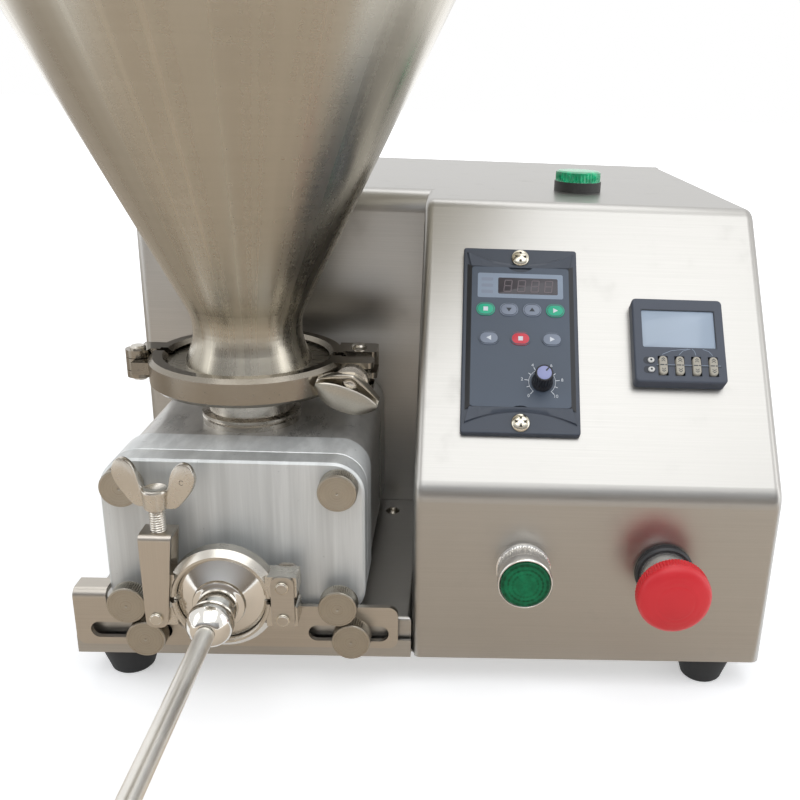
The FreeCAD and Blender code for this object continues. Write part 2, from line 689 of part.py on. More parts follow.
def make_rear_panel():
    """The flat panel that closes the rear, with vent slots and the cut-out for the power inlet."""
    corner = SIDE_BEND - SHEET
    left = -BAY_WIDTH
    corners = [V(left, HOUSING_DEPTH, FOOT_HEIGHT), V(CONSOLE_WIDTH, HOUSING_DEPTH, FOOT_HEIGHT),
               V(CONSOLE_WIDTH, HOUSING_DEPTH, HOUSING_TOP), V(left, HOUSING_DEPTH, HOUSING_TOP)]
    panel = rounded_face(corners, corner).extrude(V(0, SHEET, 0))
    holes = []
    for row in range(VENT_COUNT):
        slot = facing(pill(VENT_LENGTH, VENT_WIDTH, 3 * SHEET),
                      V(VENT_X, HOUSING_DEPTH + 2 * SHEET, VENT_BOTTOM + row * VENT_PITCH), 90)
        holes.append(slot)
    holes.append(box(INLET_X - INLET_WIDTH / 2 - SLIP, INLET_X + INLET_WIDTH / 2 + SLIP, HOUSING_DEPTH - SHEET,
                     HOUSING_DEPTH + 2 * SHEET, INLET_Z - INLET_HEIGHT / 2 - SLIP, INLET_Z + INLET_HEIGHT / 2 + SLIP))
    for x, z in rear_screw_places():
        holes.append(rod(V(x, HOUSING_DEPTH - SHEET, z), Y_AXIS, DOME_SHANK_RADIUS + THREAD_PLAY, 3 * SHEET))
    return panel.cut(holes)


def make_power_inlet():
    """The recessed three-pin mains inlet in the rear panel."""
    flange = rounded_plate(INLET_FLANGE_WIDTH, INLET_FLANGE_HEIGHT, 4, INLET_FLANGE)
    body = rounded_plate(INLET_WIDTH, INLET_HEIGHT, 2, -INLET_DEPTH)
    socket = rounded_plate(INLET_WIDTH - 2 * INLET_WALL, INLET_HEIGHT - 2 * INLET_WALL, 1.5,
                           INLET_FLANGE + INLET_DEPTH)
    socket.translate(V(0, 0, -INLET_DEPTH + INLET_WALL))
    inlet = join([flange, body]).cut(socket)
    pins = []
    for x, y in ((-7, -1.5), (7, -1.5), (0, 2.5)):
        pins.append(Part.makeBox(2, 4, INLET_PIN_LENGTH, V(x - 1, y - 2, -INLET_DEPTH + INLET_WALL)))
    return facing(join([inlet] + pins), V(INLET_X, HOUSING_DEPTH + SHEET, INLET_Z), -90)


def pump_block(y0, y1, inset=0.0, edge=PUMP_EDGE):
    """A slice of the pump from y0 to y1: upright plate with rounded corners and eased edges."""
    left = PUMP_X - PUMP_WIDTH / 2 + inset
    right = PUMP_X + PUMP_WIDTH / 2 - inset
    corners = [V(left, y0, DECK_HEIGHT), V(right, y0, DECK_HEIGHT),
               V(right, y0, PUMP_TOP - inset), V(left, y0, PUMP_TOP - inset)]
    block = rounded_face(corners, PUMP_CORNER - inset).extrude(V(0, y1 - y0, 0))
    if edge > 0:
        block = block.makeChamfer(edge, edges_in_plane(block, "Y", y0))
    return block


def cover_knob_places():
    """The cover's four thumbscrews, as (x, z, y of the face that the head sits on)."""
    left = PUMP_X - COVER_KNOB_SPACING_X / 2
    right = PUMP_X + COVER_KNOB_SPACING_X / 2
    top = DECK_HEIGHT + COVER_KNOB_TOP
    bottom = DECK_HEIGHT + COVER_KNOB_BOTTOM
    return [(left, top, COVER_FRONT), (right, top, COVER_FRONT),
            (left, bottom, BRACKET_FRONT), (right, bottom, BRACKET_FRONT)]


def make_pump_cover():
    """The front cover with the outlet port's ferrule on it and the outlet bore through both."""
    cover = pump_block(COVER_FRONT, CHAMBER_FRONT)
    joint = SMALL_JOINT_Y + SMALL_GASKET / 2
    ferrule = small_ferrule(PORT_RADIUS, COVER_FRONT - joint)
    cover = join([cover, facing(ferrule, V(PORT_X, joint, OUTLET_HEIGHT), -90)])
    holes = [rod(V(PORT_X, joint - 1, OUTLET_HEIGHT), Y_AXIS, OUTLET_BORE_RADIUS, CHAMBER_FRONT - joint + 2)]
    for x, z, seat in cover_knob_places():
        holes.append(rod(V(x, COVER_FRONT - 1, z), Y_AXIS, KNOB_SHANK_RADIUS + THREAD_PLAY, COVER_THICKNESS + 2))
    return cover.cut(holes)


def small_ferrule(tube_radius, length):
    """Half of the outlet's sanitary joint: a flat lip at z = 0 that tapers to the tube along z."""
    taper = (SMALL_FERRULE_RADIUS - tube_radius) * math.tan(math.radians(BIG_FERRULE_TAPER))
    foot = min(SMALL_FERRULE_LIP + taper, length)
    return turned([(0, 0), (SMALL_FERRULE_RADIUS, 0), (SMALL_FERRULE_RADIUS, SMALL_FERRULE_LIP),
                   (tube_radius, foot), (tube_radius, length), (0, length)], V(0, 0, 0))


def make_chamber_plate():
    """The middle plate: its figure-of-eight chamber houses the two gears."""
    plate = pump_block(CHAMBER_FRONT, CHAMBER_REAR)
    passage = CHAMBER_THICKNESS + 2
    holes = [rod(V(x, CHAMBER_FRONT - 1, GEAR_Z), Y_AXIS, CHAMBER_RADIUS, passage) for x in (DRIVE_X, IDLER_X)]
    holes.append(outlet_channel(CHAMBER_FRONT - 1, CHAMBER_THICKNESS / 2))
    for x, z, seat in cover_knob_places():
        holes.append(rod(V(x, CHAMBER_FRONT - 1, z), Y_AXIS, KNOB_SHANK_RADIUS + THREAD_PLAY, COVER_KNOB_GRIP + 1))
    return plate.cut(holes)


def outlet_channel(y0, depth):
    """The slot that leads from below the gears' mesh down to the outlet bore."""
    bottom = rod(V(PORT_X, y0, OUTLET_HEIGHT), Y_AXIS, OUTLET_BORE_RADIUS, depth)
    run = box(PORT_X - OUTLET_BORE_RADIUS, PORT_X + OUTLET_BORE_RADIUS, y0, y0 + depth, OUTLET_HEIGHT, GEAR_Z - PITCH_RADIUS / 2)
    return join([bottom, run])


def make_pump_body():
    """The bearing body between the chamber plate and the bay's wall, with the inlet passage."""
    body = pump_block(CHAMBER_REAR, WALL_SETBACK - APART, BODY_INSET, 0)
    depth = WALL_SETBACK - CHAMBER_REAR + 2
    inlet_floor = GEAR_Z + PITCH_RADIUS / 2
    throat = 0.45 * BIG_BORE_RADIUS
    holes = [rod(V(DRIVE_X, CHAMBER_REAR - 1, GEAR_Z), Y_AXIS, SHAFT_RADIUS + RUNNING, depth),
             rod(V(IDLER_X, CHAMBER_REAR - 1, GEAR_Z), Y_AXIS, SHAFT_RADIUS + RUNNING, IDLER_SHAFT_LENGTH + 2),
             rod(V(PORT_X, INLET_Y, inlet_floor), Z_AXIS, BIG_BORE_RADIUS, PUMP_HEIGHT),
             rod(V(PORT_X, CHAMBER_REAR - 1, inlet_floor + throat + 1), Y_AXIS, throat, INLET_Y - CHAMBER_REAR + 1)]
    return body.cut(holes)


def involute_gear(width):
    """A spur gear along y with thinned involute teeth, one tooth centred on +x, from y = 0 to its width."""
    pressure = math.radians(20)
    base_radius = PITCH_RADIUS * math.cos(pressure)
    half_tooth = math.pi / (2 * TEETH) - BACKLASH / (2 * PITCH_RADIUS)
    roll_pitch = math.tan(pressure) - pressure
    steps = 4

    def flank_point(radius, side):
        angle = math.acos(min(1.0, base_radius / radius))
        turn = half_tooth + roll_pitch - (math.tan(angle) - angle)
        return radius, side * turn

    def at(radius, angle):
        return V(radius * math.cos(angle), 0, radius * math.sin(angle))

    pitch = 2 * math.pi / TEETH
    edges = []
    for tooth in range(TEETH):
        turn = tooth * pitch
        radii = [base_radius + (TIP_RADIUS - base_radius) * step / steps for step in range(steps + 1)]
        rising = [flank_point(radius, -1) for radius in radii]
        falling = [flank_point(radius, 1) for radius in reversed(radii)]
        up = [at(radius, turn + angle) for radius, angle in rising]
        down = [at(radius, turn + angle) for radius, angle in falling]
        foot_in = at(ROOT_RADIUS, turn + rising[0][1])
        foot_out = at(ROOT_RADIUS, turn + falling[-1][1])
        next_foot = at(ROOT_RADIUS, turn + pitch + rising[0][1])
        edges.append(Part.makeLine(foot_in, up[0]))
        rise = Part.BSplineCurve()
        rise.interpolate(up)
        edges.append(rise.toShape())
        edges.append(Part.Arc(up[-1], at(TIP_RADIUS, turn), down[0]).toShape())
        fall = Part.BSplineCurve()
        fall.interpolate(down)
        edges.append(fall.toShape())
        edges.append(Part.makeLine(down[-1], foot_out))
        edges.append(Part.Arc(foot_out, at(ROOT_RADIUS, turn + pitch / 2), next_foot).toShape())
    return Part.Face(Part.Wire(edges)).extrude(V(0, width, 0))


def make_drive_gear():
    """The driving gear in one piece with its long shaft through the bay's wall."""
    width = CHAMBER_THICKNESS - 2 * GEAR_SIDE_GAP
    gear = involute_gear(width)
    start = width - 1
    reach = WALL_SETBACK + DRIVE_SHAFT_REACH - CHAMBER_FRONT - GEAR_SIDE_GAP - start
    piece = join([gear, rod(V(0, start, 0), Y_AXIS, SHAFT_RADIUS, reach)])
    piece = piece.cut(rod(V(0, -1, 0), Y_AXIS, CORE_HOLE_RADIUS, width / 2 + 1))
    piece.translate(V(DRIVE_X, CHAMBER_FRONT + GEAR_SIDE_GAP, GEAR_Z))
    return piece


def make_idler_gear():
    """The driven gear with its short shaft, turned half a tooth so that it meshes."""
    width = CHAMBER_THICKNESS - 2 * GEAR_SIDE_GAP
    gear = involute_gear(width)
    piece = join([gear, rod(V(0, width - 1, 0), Y_AXIS, SHAFT_RADIUS, IDLER_SHAFT_LENGTH + 1)])
    piece = piece.cut(rod(V(0, -1, 0), Y_AXIS, CORE_HOLE_RADIUS, width / 2 + 1))
    piece.rotate(V(0, 0, 0), Y_AXIS, 180 / TEETH)
    piece.translate(V(IDLER_X, CHAMBER_FRONT + GEAR_SIDE_GAP, GEAR_Z))
    return piece


def make_shaft_coupling():
    """The sleeve that joins the pump's shaft to the motor's."""
    start = WALL_SETBACK + COUPLING_START
    sleeve = rod(V(DRIVE_X, start, GEAR_Z), Y_AXIS, COUPLING_RADIUS - APART, COUPLING_LENGTH - APART)
    pump_end = rod(V(DRIVE_X, start - 1, GEAR_Z), Y_AXIS, SHAFT_RADIUS, DRIVE_SHAFT_REACH - COUPLING_START + 1)
    motor_end = rod(V(DRIVE_X, MOTOR_FACE - MOTOR_SHAFT_LENGTH, GEAR_Z), Y_AXIS, MOTOR_SHAFT_RADIUS,
                    MOTOR_SHAFT_LENGTH)
    edge = 1.0
    sleeve = sleeve.makeChamfer(edge, [edge_ for edge_ in sleeve.Edges if len(edge_.Vertexes) == 1])
    return join([sleeve.cut([pump_end, motor_end]), motor_end_stub()])


def motor_end_stub():
    """The motor's output shaft, which turns with the coupling."""
    start = MOTOR_FACE - MOTOR_SHAFT_LENGTH
    return rod(V(DRIVE_X, start, GEAR_Z), Y_AXIS, MOTOR_SHAFT_RADIUS, MOTOR_SHAFT_LENGTH - APART)


def make_motor_bracket():
    """The angle bracket that stands on the tray and carries the gearbox's face."""
    half = GEARBOX_SIDE / 2
    plate = MOTOR_BRACKET_PLATE
    y0 = MOTOR_FACE - plate
    upright = box(DRIVE_X - half, DRIVE_X + half, y0, MOTOR_FACE, TRAY_TOP, GEAR_Z + half)
    foot = box(DRIVE_X - half, DRIVE_X + half, y0, y0 + MOTOR_BRACKET_FOOT, TRAY_TOP, TRAY_TOP + plate)
    bore = rod(V(DRIVE_X, y0 - 1, GEAR_Z), Y_AXIS, COUPLING_RADIUS + 1, plate + 2)
    return join([upright, foot]).cut(bore)


def make_gear_motor():
    """The square gearbox and the round motor behind it."""
    half = GEARBOX_SIDE / 2
    gearbox = facing(rounded_plate(GEARBOX_SIDE, GEARBOX_SIDE, 6, -GEARBOX_LENGTH), V(DRIVE_X, MOTOR_FACE, GEAR_Z), 90)
    motor = rod(V(DRIVE_X, MOTOR_FACE + GEARBOX_LENGTH - 1, GEAR_Z), Y_AXIS, MOTOR_RADIUS, MOTOR_LENGTH + 1)
    end = [edge for edge in edges_in_plane(motor, "Y", MOTOR_FACE + GEARBOX_LENGTH + MOTOR_LENGTH)]
    motor = motor.makeFillet(4, end)
    return join([gearbox, motor])


def thumbscrew(shank_length):
    """A knurled-edge thumbscrew, its head's rear face at z = 0 and its shank below."""
    profile = [(0, -shank_length), (KNOB_SHANK_RADIUS - KNOB_EDGE, -shank_length),
               (KNOB_SHANK_RADIUS, KNOB_EDGE - shank_length), (KNOB_SHANK_RADIUS, 0), (KNOB_RADIUS - KNOB_EDGE, 0),
               (KNOB_RADIUS, KNOB_EDGE), (KNOB_RADIUS, KNOB_THICKNESS - KNOB_EDGE),
               (KNOB_RADIUS - KNOB_EDGE, KNOB_THICKNESS), (0, KNOB_THICKNESS)]
    return turned(profile, V(0, 0, 0))


def make_cover_screw(index):
    """One of the cover's four thumbscrews."""
    x, z, seat = cover_knob_places()[index]
    shank = CHAMBER_FRONT + COVER_KNOB_GRIP - 1 - seat
    return facing(thumbscrew(shank), V(x, seat, z), 90)


def make_bracket_screw(x):
    """One of the two thumbscrews that hold the retaining bracket to the deck."""
    shank = DECK_FRONT + BRACKET_KNOB_GRIP - BRACKET_FRONT
    return facing(thumbscrew(shank), V(x, BRACKET_FRONT, BRACKET_KNOB_Z), 90)


def make_retaining_bracket():
    """The slotted bar across the pump's foot, with a hooked tab bent back at its left end."""
    corners = [V(BRACKET_LEFT, BRACKET_FRONT, BRACKET_BOTTOM), V(BRACKET_RIGHT, BRACKET_FRONT, BRACKET_BOTTOM),
               V(BRACKET_RIGHT, BRACKET_FRONT, BRACKET_TOP), V(BRACKET_LEFT, BRACKET_FRONT, BRACKET_TOP)]
    bar = rounded_face(corners, BRACKET_CORNER).extrude(V(0, BRACKET_THICKNESS, 0))
    outer = [V(BRACKET_LEFT, BRACKET_FRONT, BRACKET_BOTTOM + BRACKET_CORNER), V(BRACKET_LEFT, BRACKET_FRONT, HOOK_TOP),
             V(BRACKET_LEFT, BRACKET_FRONT + HOOK_DEPTH, HOOK_TOP)]
    under = HOOK_TOP - BRACKET_THICKNESS
    inner = [V(BRACKET_LEFT, BRACKET_FRONT + HOOK_DEPTH, under), V(BRACKET_LEFT, BRACKET_REAR, under),
             V(BRACKET_LEFT, BRACKET_REAR, BRACKET_BOTTOM + BRACKET_CORNER)]
    edges = corner_path(outer, [HOOK_BEND]) + [Part.makeLine(outer[-1], inner[0])]
    edges += corner_path(inner, [HOOK_BEND - BRACKET_THICKNESS]) + [Part.makeLine(inner[-1], outer[0])]
    hook = Part.Face(Part.Wire(edges)).extrude(V(HOOK_WIDTH, 0, 0))
    slots = [facing(pill(BRACKET_SLOT_LENGTH, BRACKET_SLOT_HEIGHT, 3 * BRACKET_THICKNESS),
                    V(x, BRACKET_REAR + BRACKET_THICKNESS, BRACKET_KNOB_Z), 90)
             for x in (BRACKET_LEFT_SLOT_X, BRACKET_RIGHT_SLOT_X)]
    return join([bar, hook]).cut(slots)


def big_ferrule_profile(tube_radius):
    """The upper half of the hopper joint's lip and taper, as (radius, height above the joint)."""
    rise = (BIG_FERRULE_RADIUS - tube_radius) * math.tan(math.radians(BIG_FERRULE_TAPER))
    return [(BIG_FERRULE_RADIUS, 0), (BIG_FERRULE_RADIUS, BIG_FERRULE_LIP), (tube_radius, BIG_FERRULE_LIP + rise)]


def make_inlet_neck():
    """The short tube on the pump's top that ends in the lower ferrule, with two beads at its foot."""
    joint = BIG_JOINT_HEIGHT - BIG_GASKET / 2
    lip = [(radius, joint - rise) for radius, rise in big_ferrule_profile(INLET_TUBE_RADIUS)]
    bead = INLET_RING_HEIGHT
    groove = INLET_RING_GROOVE
    foot = [(INLET_TUBE_RADIUS, PUMP_TOP + 2 * bead + groove),
            (INLET_RING_RADIUS, PUMP_TOP + 2 * bead), (INLET_RING_RADIUS, PUMP_TOP + bead + groove),
            (INLET_RING_RADIUS - groove, PUMP_TOP + bead), (INLET_RING_RADIUS, PUMP_TOP + bead - groove),
            (INLET_RING_RADIUS, PUMP_TOP - BODY_INSET), (BIG_BORE_RADIUS, PUMP_TOP - BODY_INSET)]
    return turned([(BIG_BORE_RADIUS, joint)] + lip + foot, V(PORT_X, INLET_Y, 0))


def make_inlet_gasket():
    """The seal between the two ferrules of the hopper joint."""
    low = BIG_JOINT_HEIGHT - BIG_GASKET / 2
    high = BIG_JOINT_HEIGHT + BIG_GASKET / 2
    return turned([(BIG_BORE_RADIUS, low), (BIG_FERRULE_RADIUS, low), (BIG_FERRULE_RADIUS, high),
                   (BIG_BORE_RADIUS, high)], V(PORT_X, INLET_Y, 0))


def hopper_outline(offset):
    """The spun hopper's outline from the flare up to the mouth, moved inwards by the offset."""
    joint = BIG_JOINT_HEIGHT + BIG_GASKET / 2
    flare_top = joint + BIG_FERRULE_LIP
    slant = math.hypot(1, HOPPER_CONE_SLOPE)
    cone_offset = offset * slant
    neck = V(HOPPER_NECK_RADIUS - offset, 0, HOPPER_NECK_HEIGHT)
    corner_z = HOPPER_NECK_HEIGHT + (cone_offset - offset) / HOPPER_CONE_SLOPE
    corner = V(HOPPER_NECK_RADIUS - offset, 0, corner_z)
    mouth_z = HOPPER_TOP + (cone_offset - offset) / HOPPER_CONE_SLOPE
    mouth = V(HOPPER_MOUTH_RADIUS - offset, 0, mouth_z)
    top = V(HOPPER_MOUTH_RADIUS - offset, 0, HOPPER_TOP + HOPPER_COLLAR)
    flare = V(HOPPER_FLARE_RADIUS - offset, 0, flare_top)
    waist = V(HOPPER_NECK_RADIUS - offset, 0, (flare_top + neck.z) / 2)
    bends = [HOPPER_FLARE_BEND - offset, HOPPER_BLEND + offset, HOPPER_MOUTH_BEND]
    return corner_path([flare, waist, corner, mouth, top], bends)


def make_hopper():
    """The spun conical hopper with its neck, its ferrule and a rolled rim."""
    joint = BIG_JOINT_HEIGHT + BIG_GASKET / 2
    outer = hopper_outline(0)
    inner = hopper_outline(HOPPER_WALL)
    outer_low = outer[0].Vertexes[0].Point
    inner_low = inner[0].Vertexes[0].Point
    outer_top = outer[-1].Vertexes[-1].Point
    inner_top = inner[-1].Vertexes[-1].Point
    lip = [V(BIG_FERRULE_RADIUS, 0, joint + BIG_FERRULE_LIP), V(BIG_FERRULE_RADIUS, 0, joint),
           V(BIG_BORE_RADIUS, 0, joint)]
    edges = [Part.makeLine(outer_low, lip[0]), Part.makeLine(lip[0], lip[1]), Part.makeLine(lip[1], lip[2]),
             Part.makeLine(lip[2], inner_low), Part.makeLine(outer_top, inner_top)]
    wire = Part.Wire(Part.sortEdges(edges + outer + inner)[0])
    shell = Part.Face(wire).revolve(V(0, 0, 0), Z_AXIS, 360)
    rim_z = HOPPER_TOP + HOPPER_COLLAR
    rim = Part.makeTorus(RIM_CENTRE_RADIUS, HOPPER_RIM_RADIUS, V(0, 0, rim_z))
    hollow = Part.makeTorus(RIM_CENTRE_RADIUS, HOPPER_RIM_RADIUS - HOPPER_WALL, V(0, 0, rim_z))
    hopper = join([shell, rim.cut(hollow)])
    hopper.translate(V(PORT_X, INLET_Y, 0))
    return hopper


def clamp_ring(radius, opening, lip_radius, lip, width, edge, lip_edge, groove_gap):
    """A whole clamp ring about z, centred on z = 0, grooved inside for a pair of ferrules."""
    half = width / 2
    tan_taper = math.tan(math.radians(BIG_FERRULE_TAPER))
    reach = lip_radius + groove_gap
    groove_top = lip + groove_gap
    at_opening = groove_top + (reach - opening) * tan_taper
    profile = [(opening, half - lip_edge), (opening + lip_edge, half), (radius - edge, half), (radius, half - edge),
               (radius, edge - half), (radius - edge, -half), (opening + lip_edge, -half), (opening, lip_edge - half),
               (opening, -at_opening), (reach, -groove_top), (reach, groove_top), (opening, at_opening)]
    return turned(profile, V(0, 0, 0))


def half_space(y0, y1, reach):
    """A large block that keeps the part of a clamp between y0 and y1."""
    return box(-reach, reach, y0, y1, -reach, reach)


def big_clamp_ring():
    """The whole ring round the hopper joint."""
    lip = BIG_GASKET / 2 + BIG_FERRULE_LIP
    return clamp_ring(BIG_CLAMP_RADIUS, BIG_CLAMP_OPENING, BIG_FERRULE_RADIUS, lip, BIG_CLAMP_HEIGHT,
                      BIG_CLAMP_EDGE, BIG_CLAMP_EDGE, BIG_CLAMP_GROOVE_GAP)


def hinge_ears(z0, z1, sign):
    """A hinge ear from the ring to the pin, on the front (-1) or rear (1) half."""
    start = -BIG_CLAMP_RADIUS + 4
    bar = box(-HINGE_REACH, start, min(0, sign * HINGE_LUG_RADIUS * 2), max(0, sign * HINGE_LUG_RADIUS * 2), z0, z1)
    eye = rod(V(-HINGE_REACH, 0, z0), Z_AXIS, HINGE_LUG_RADIUS, z1 - z0)
    return join([bar, eye])


def place_big_clamp(shape):
    """Move a piece of the hopper clamp from its own axis to the joint."""
    shape.translate(V(PORT_X, INLET_Y, BIG_JOINT_HEIGHT))
    return shape


def make_hopper_clamp_back():
    """The rear half: a forked hinge on the left and a forked lug for the swing bolt on the right."""
    reach = 2 * LUG_REACH
    half = BIG_CLAMP_HEIGHT / 2
    ring = big_clamp_ring().common(half_space(BIG_CLAMP_SPLIT, reach, reach))
    lug = box(BIG_CLAMP_OPENING + 4, LUG_REACH, FORK_FRONT, FORK_FRONT + FORK_DEPTH, -half, half)
    lug = lug.makeFillet(2.5, [edge for edge in edges_in_plane(lug, "X", LUG_REACH) if edge.BoundBox.ZLength > half])
    ears = hinge_ears(-half, half, 1)
    groove = rod(V(0, 0, -half), Z_AXIS, BIG_FERRULE_RADIUS + BIG_CLAMP_GROOVE_GAP, 2 * half)
    body = join([ring, lug.cut(groove), ears.cut(groove)])
    tongue_room = HINGE_TONGUE / 2 + APART
    eye_room = BOLT_EYE_THICKNESS / 2 + APART
    swing_room = BOLT_EYE_RADIUS + APART
    slot = box(BOLT_REACH - swing_room, LUG_REACH + 1, FORK_FRONT - 1, FORK_PIN_Y, -eye_room, eye_room)
    pocket = rod(V(BOLT_REACH, FORK_PIN_Y, -eye_room), Z_AXIS, swing_room, 2 * eye_room)
    side = box(BOLT_REACH, LUG_REACH + 1, FORK_PIN_Y - 1, FORK_PIN_Y + swing_room, -eye_room, eye_room)
    cuts = [slot, pocket, side,
            rod(V(BOLT_REACH, FORK_PIN_Y, -half - 1), Z_AXIS, BOLT_PIN_RADIUS + THREAD_PLAY, 2 * half + 2),
            rod(V(-HINGE_REACH, 0, -tongue_room), Z_AXIS, HINGE_LUG_RADIUS + APART, 2 * tongue_room),
            box(-HINGE_REACH - HINGE_LUG_RADIUS - 1, -BIG_CLAMP_RADIUS - APART, -HINGE_LUG_RADIUS - 1, 2, -tongue_room, tongue_room),
            rod(V(-HINGE_REACH, 0, -half - 1), Z_AXIS, HINGE_PIN_RADIUS + THREAD_PLAY, 2 * half + 2)]
    return place_big_clamp(body.cut(cuts))


def make_hopper_clamp_front():
    """The front half: a tongue on the left and a slotted lug for the swing bolt on the right."""
    reach = 2 * LUG_REACH
    half = BIG_CLAMP_HEIGHT / 2
    ring = big_clamp_ring().common(half_space(-reach, -BIG_CLAMP_SPLIT, reach))
    face = -FRONT_LUG_FACE
    lug = box(BIG_CLAMP_OPENING - 2, LUG_REACH, face, face + FRONT_LUG_THICKNESS, -half, half)
    lug = lug.makeFillet(2.5, [edge for edge in edges_in_plane(lug, "X", LUG_REACH) if edge.BoundBox.ZLength > half])
    groove = rod(V(0, 0, -half), Z_AXIS, BIG_FERRULE_RADIUS + BIG_CLAMP_GROOVE_GAP, 2 * half)
    tongue = hinge_ears(-HINGE_TONGUE / 2, HINGE_TONGUE / 2, -1).cut(groove)
    fork_room = box(-HINGE_REACH - HINGE_LUG_RADIUS - 1, -BIG_CLAMP_RADIUS + 8, -2 * HINGE_LUG_RADIUS - 1, reach,
                    -half - 1, half + 1)
    near_pin = rod(V(-HINGE_REACH, 0, -half - 1), Z_AXIS, HINGE_LUG_RADIUS + APART, 2 * half + 2)
    body = ring.cut(near_pin.common(fork_room))
    body = join([body, lug.cut(groove), tongue])
    slot = box(BOLT_REACH - SLOT_HALF_WIDTH, LUG_REACH + 1, face - 1, face + FRONT_LUG_THICKNESS + 1,
               -SLOT_HALF_WIDTH, SLOT_HALF_WIDTH)
    pin = rod(V(-HINGE_REACH, 0, -half - 1), Z_AXIS, HINGE_PIN_RADIUS + THREAD_PLAY, 2 * half + 2)
    return place_big_clamp(body.cut([slot, pin]))


def headed_pin(radius, length):
    """An upright pin centred on z = 0 with a domed head at each end."""
    half = length / 2
    head = half + PIN_HEAD_HEIGHT
    slope = PIN_HEAD_HEIGHT / 2
    profile = [(0, -head), (PIN_HEAD_RADIUS - slope, -head), (PIN_HEAD_RADIUS, slope - head), (PIN_HEAD_RADIUS, -half),
               (radius, -half), (radius, half), (PIN_HEAD_RADIUS, half), (PIN_HEAD_RADIUS, head - slope),
               (PIN_HEAD_RADIUS - slope, head), (0, head)]
    return turned(profile, V(0, 0, 0))


def make_hinge_pin():
    """The pin that joins the clamp's two halves on the left."""
    pin = headed_pin(HINGE_PIN_RADIUS, BIG_CLAMP_HEIGHT)
    pin.translate(V(-HINGE_REACH, 0, 0))
    return place_big_clamp(pin)


def make_bolt_pin():
    """The pin that the swing bolt turns on."""
    pin = headed_pin(BOLT_PIN_RADIUS, BIG_CLAMP_HEIGHT)
    pin.translate(V(BOLT_REACH, FORK_PIN_Y, 0))
    return place_big_clamp(pin)


def make_swing_bolt():
    """The eye bolt that swings into the front half's slot."""
    half = BOLT_EYE_THICKNESS / 2
    eye = rod(V(BOLT_REACH, FORK_PIN_Y, -half), Z_AXIS, BOLT_EYE_RADIUS, BOLT_EYE_THICKNESS)
    shank = rod(V(BOLT_REACH, FORK_PIN_Y, 0), TO_FRONT, BOLT_RADIUS, BOLT_LENGTH)
    tip = [edge for edge in edges_in_plane(shank, "Y", FORK_PIN_Y - BOLT_LENGTH)]
    shank = shank.makeChamfer(0.8, tip)
    hole = rod(V(BOLT_REACH, FORK_PIN_Y, -half - 1), Z_AXIS, BOLT_PIN_RADIUS + RUNNING, 2 * half + 2)
    return place_big_clamp(join([eye, shank]).cut(hole))


def leaf(half_length, half_width, depth):
    """A leaf-shaped plate, pointed at both ends in x, from z = 0 to its depth."""
    top = Part.Arc(V(-half_length, 0, 0), V(0, half_width, 0), V(half_length, 0, 0)).toShape()
    bottom = Part.Arc(V(half_length, 0, 0), V(0, -half_width, 0), V(-half_length, 0, 0)).toShape()
    return Part.Face(Part.Wire([top, bottom])).extrude(V(0, 0, depth))


def make_hopper_clamp_nut():
    """The wing nut on the swing bolt: a round hub that opens into a leaf-shaped, dished wing."""
    chamfer = HUB_RADIUS - HUB_FACE_RADIUS
    cone = turned([(0, 0), (HUB_FACE_RADIUS, 0), (HUB_RADIUS, chamfer), (HUB_RADIUS, HUB_LENGTH),
                   (WING_RADIUS, NUT_DEPTH - 1), (WING_RADIUS, NUT_DEPTH), (0, NUT_DEPTH)], V(0, 0, 0))
    hub = Part.makeCylinder(HUB_RADIUS, HUB_LENGTH + 2)
    wing = cone.common(join([leaf(1.12 * WING_RADIUS, WING_HEIGHT / 2, NUT_DEPTH), hub]))
    cup = leaf(WING_RADIUS - WING_WALL, WING_HEIGHT / 2 - WING_WALL, WING_CUP_DEPTH + 1)
    cup.translate(V(0, 0, NUT_DEPTH - WING_CUP_DEPTH))
    bore = Part.makeCylinder(BOLT_RADIUS + THREAD_PLAY, NUT_DEPTH + 2, V(0, 0, -1))
    nut = wing.cut([cup, bore])
    nut.rotate(V(0, 0, 0), Z_AXIS, -WING_TILT)
    nut = facing(nut, V(BOLT_REACH, -FRONT_LUG_FACE - NUT_SEAT, 0), 90)
    return place_big_clamp(nut)


def small_clamp_ring():
    """The whole ring round the outlet joint, about y, at the port's axis."""
    lip = SMALL_GASKET / 2 + SMALL_FERRULE_LIP
    ring = clamp_ring(SMALL_CLAMP_RADIUS, SMALL_CLAMP_OPENING, SMALL_FERRULE_RADIUS, lip, SMALL_CLAMP_WIDTH,
                      SMALL_CLAMP_EDGE, SMALL_CLAMP_LIP_EDGE, SMALL_GROOVE_GAP)
    return facing(ring, V(0, 0, 0), 90)


def place_small_clamp(shape):
    """Move a piece of the outlet clamp from its own axis to the joint."""
    shape.translate(V(PORT_X, SMALL_JOINT_Y, OUTLET_HEIGHT))
    return shape


def small_lug(x0, x1, z0, z1, half_depth):
    """A block lug of the outlet clamp, kept clear of the ferrules inside the ring."""
    block = box(x0, x1, -half_depth, half_depth, z0, z1)
    outer = x0 if x0 < 0 else x1
    block = block.makeFillet(1.2, [edge for edge in edges_in_plane(block, "X", outer) if edge.BoundBox.YLength > 1])
    core = rod(V(0, -half_depth - 1, 0), Y_AXIS, SMALL_FERRULE_RADIUS + SMALL_GROOVE_GAP, 2 * half_depth + 2)
    return block.cut(core)


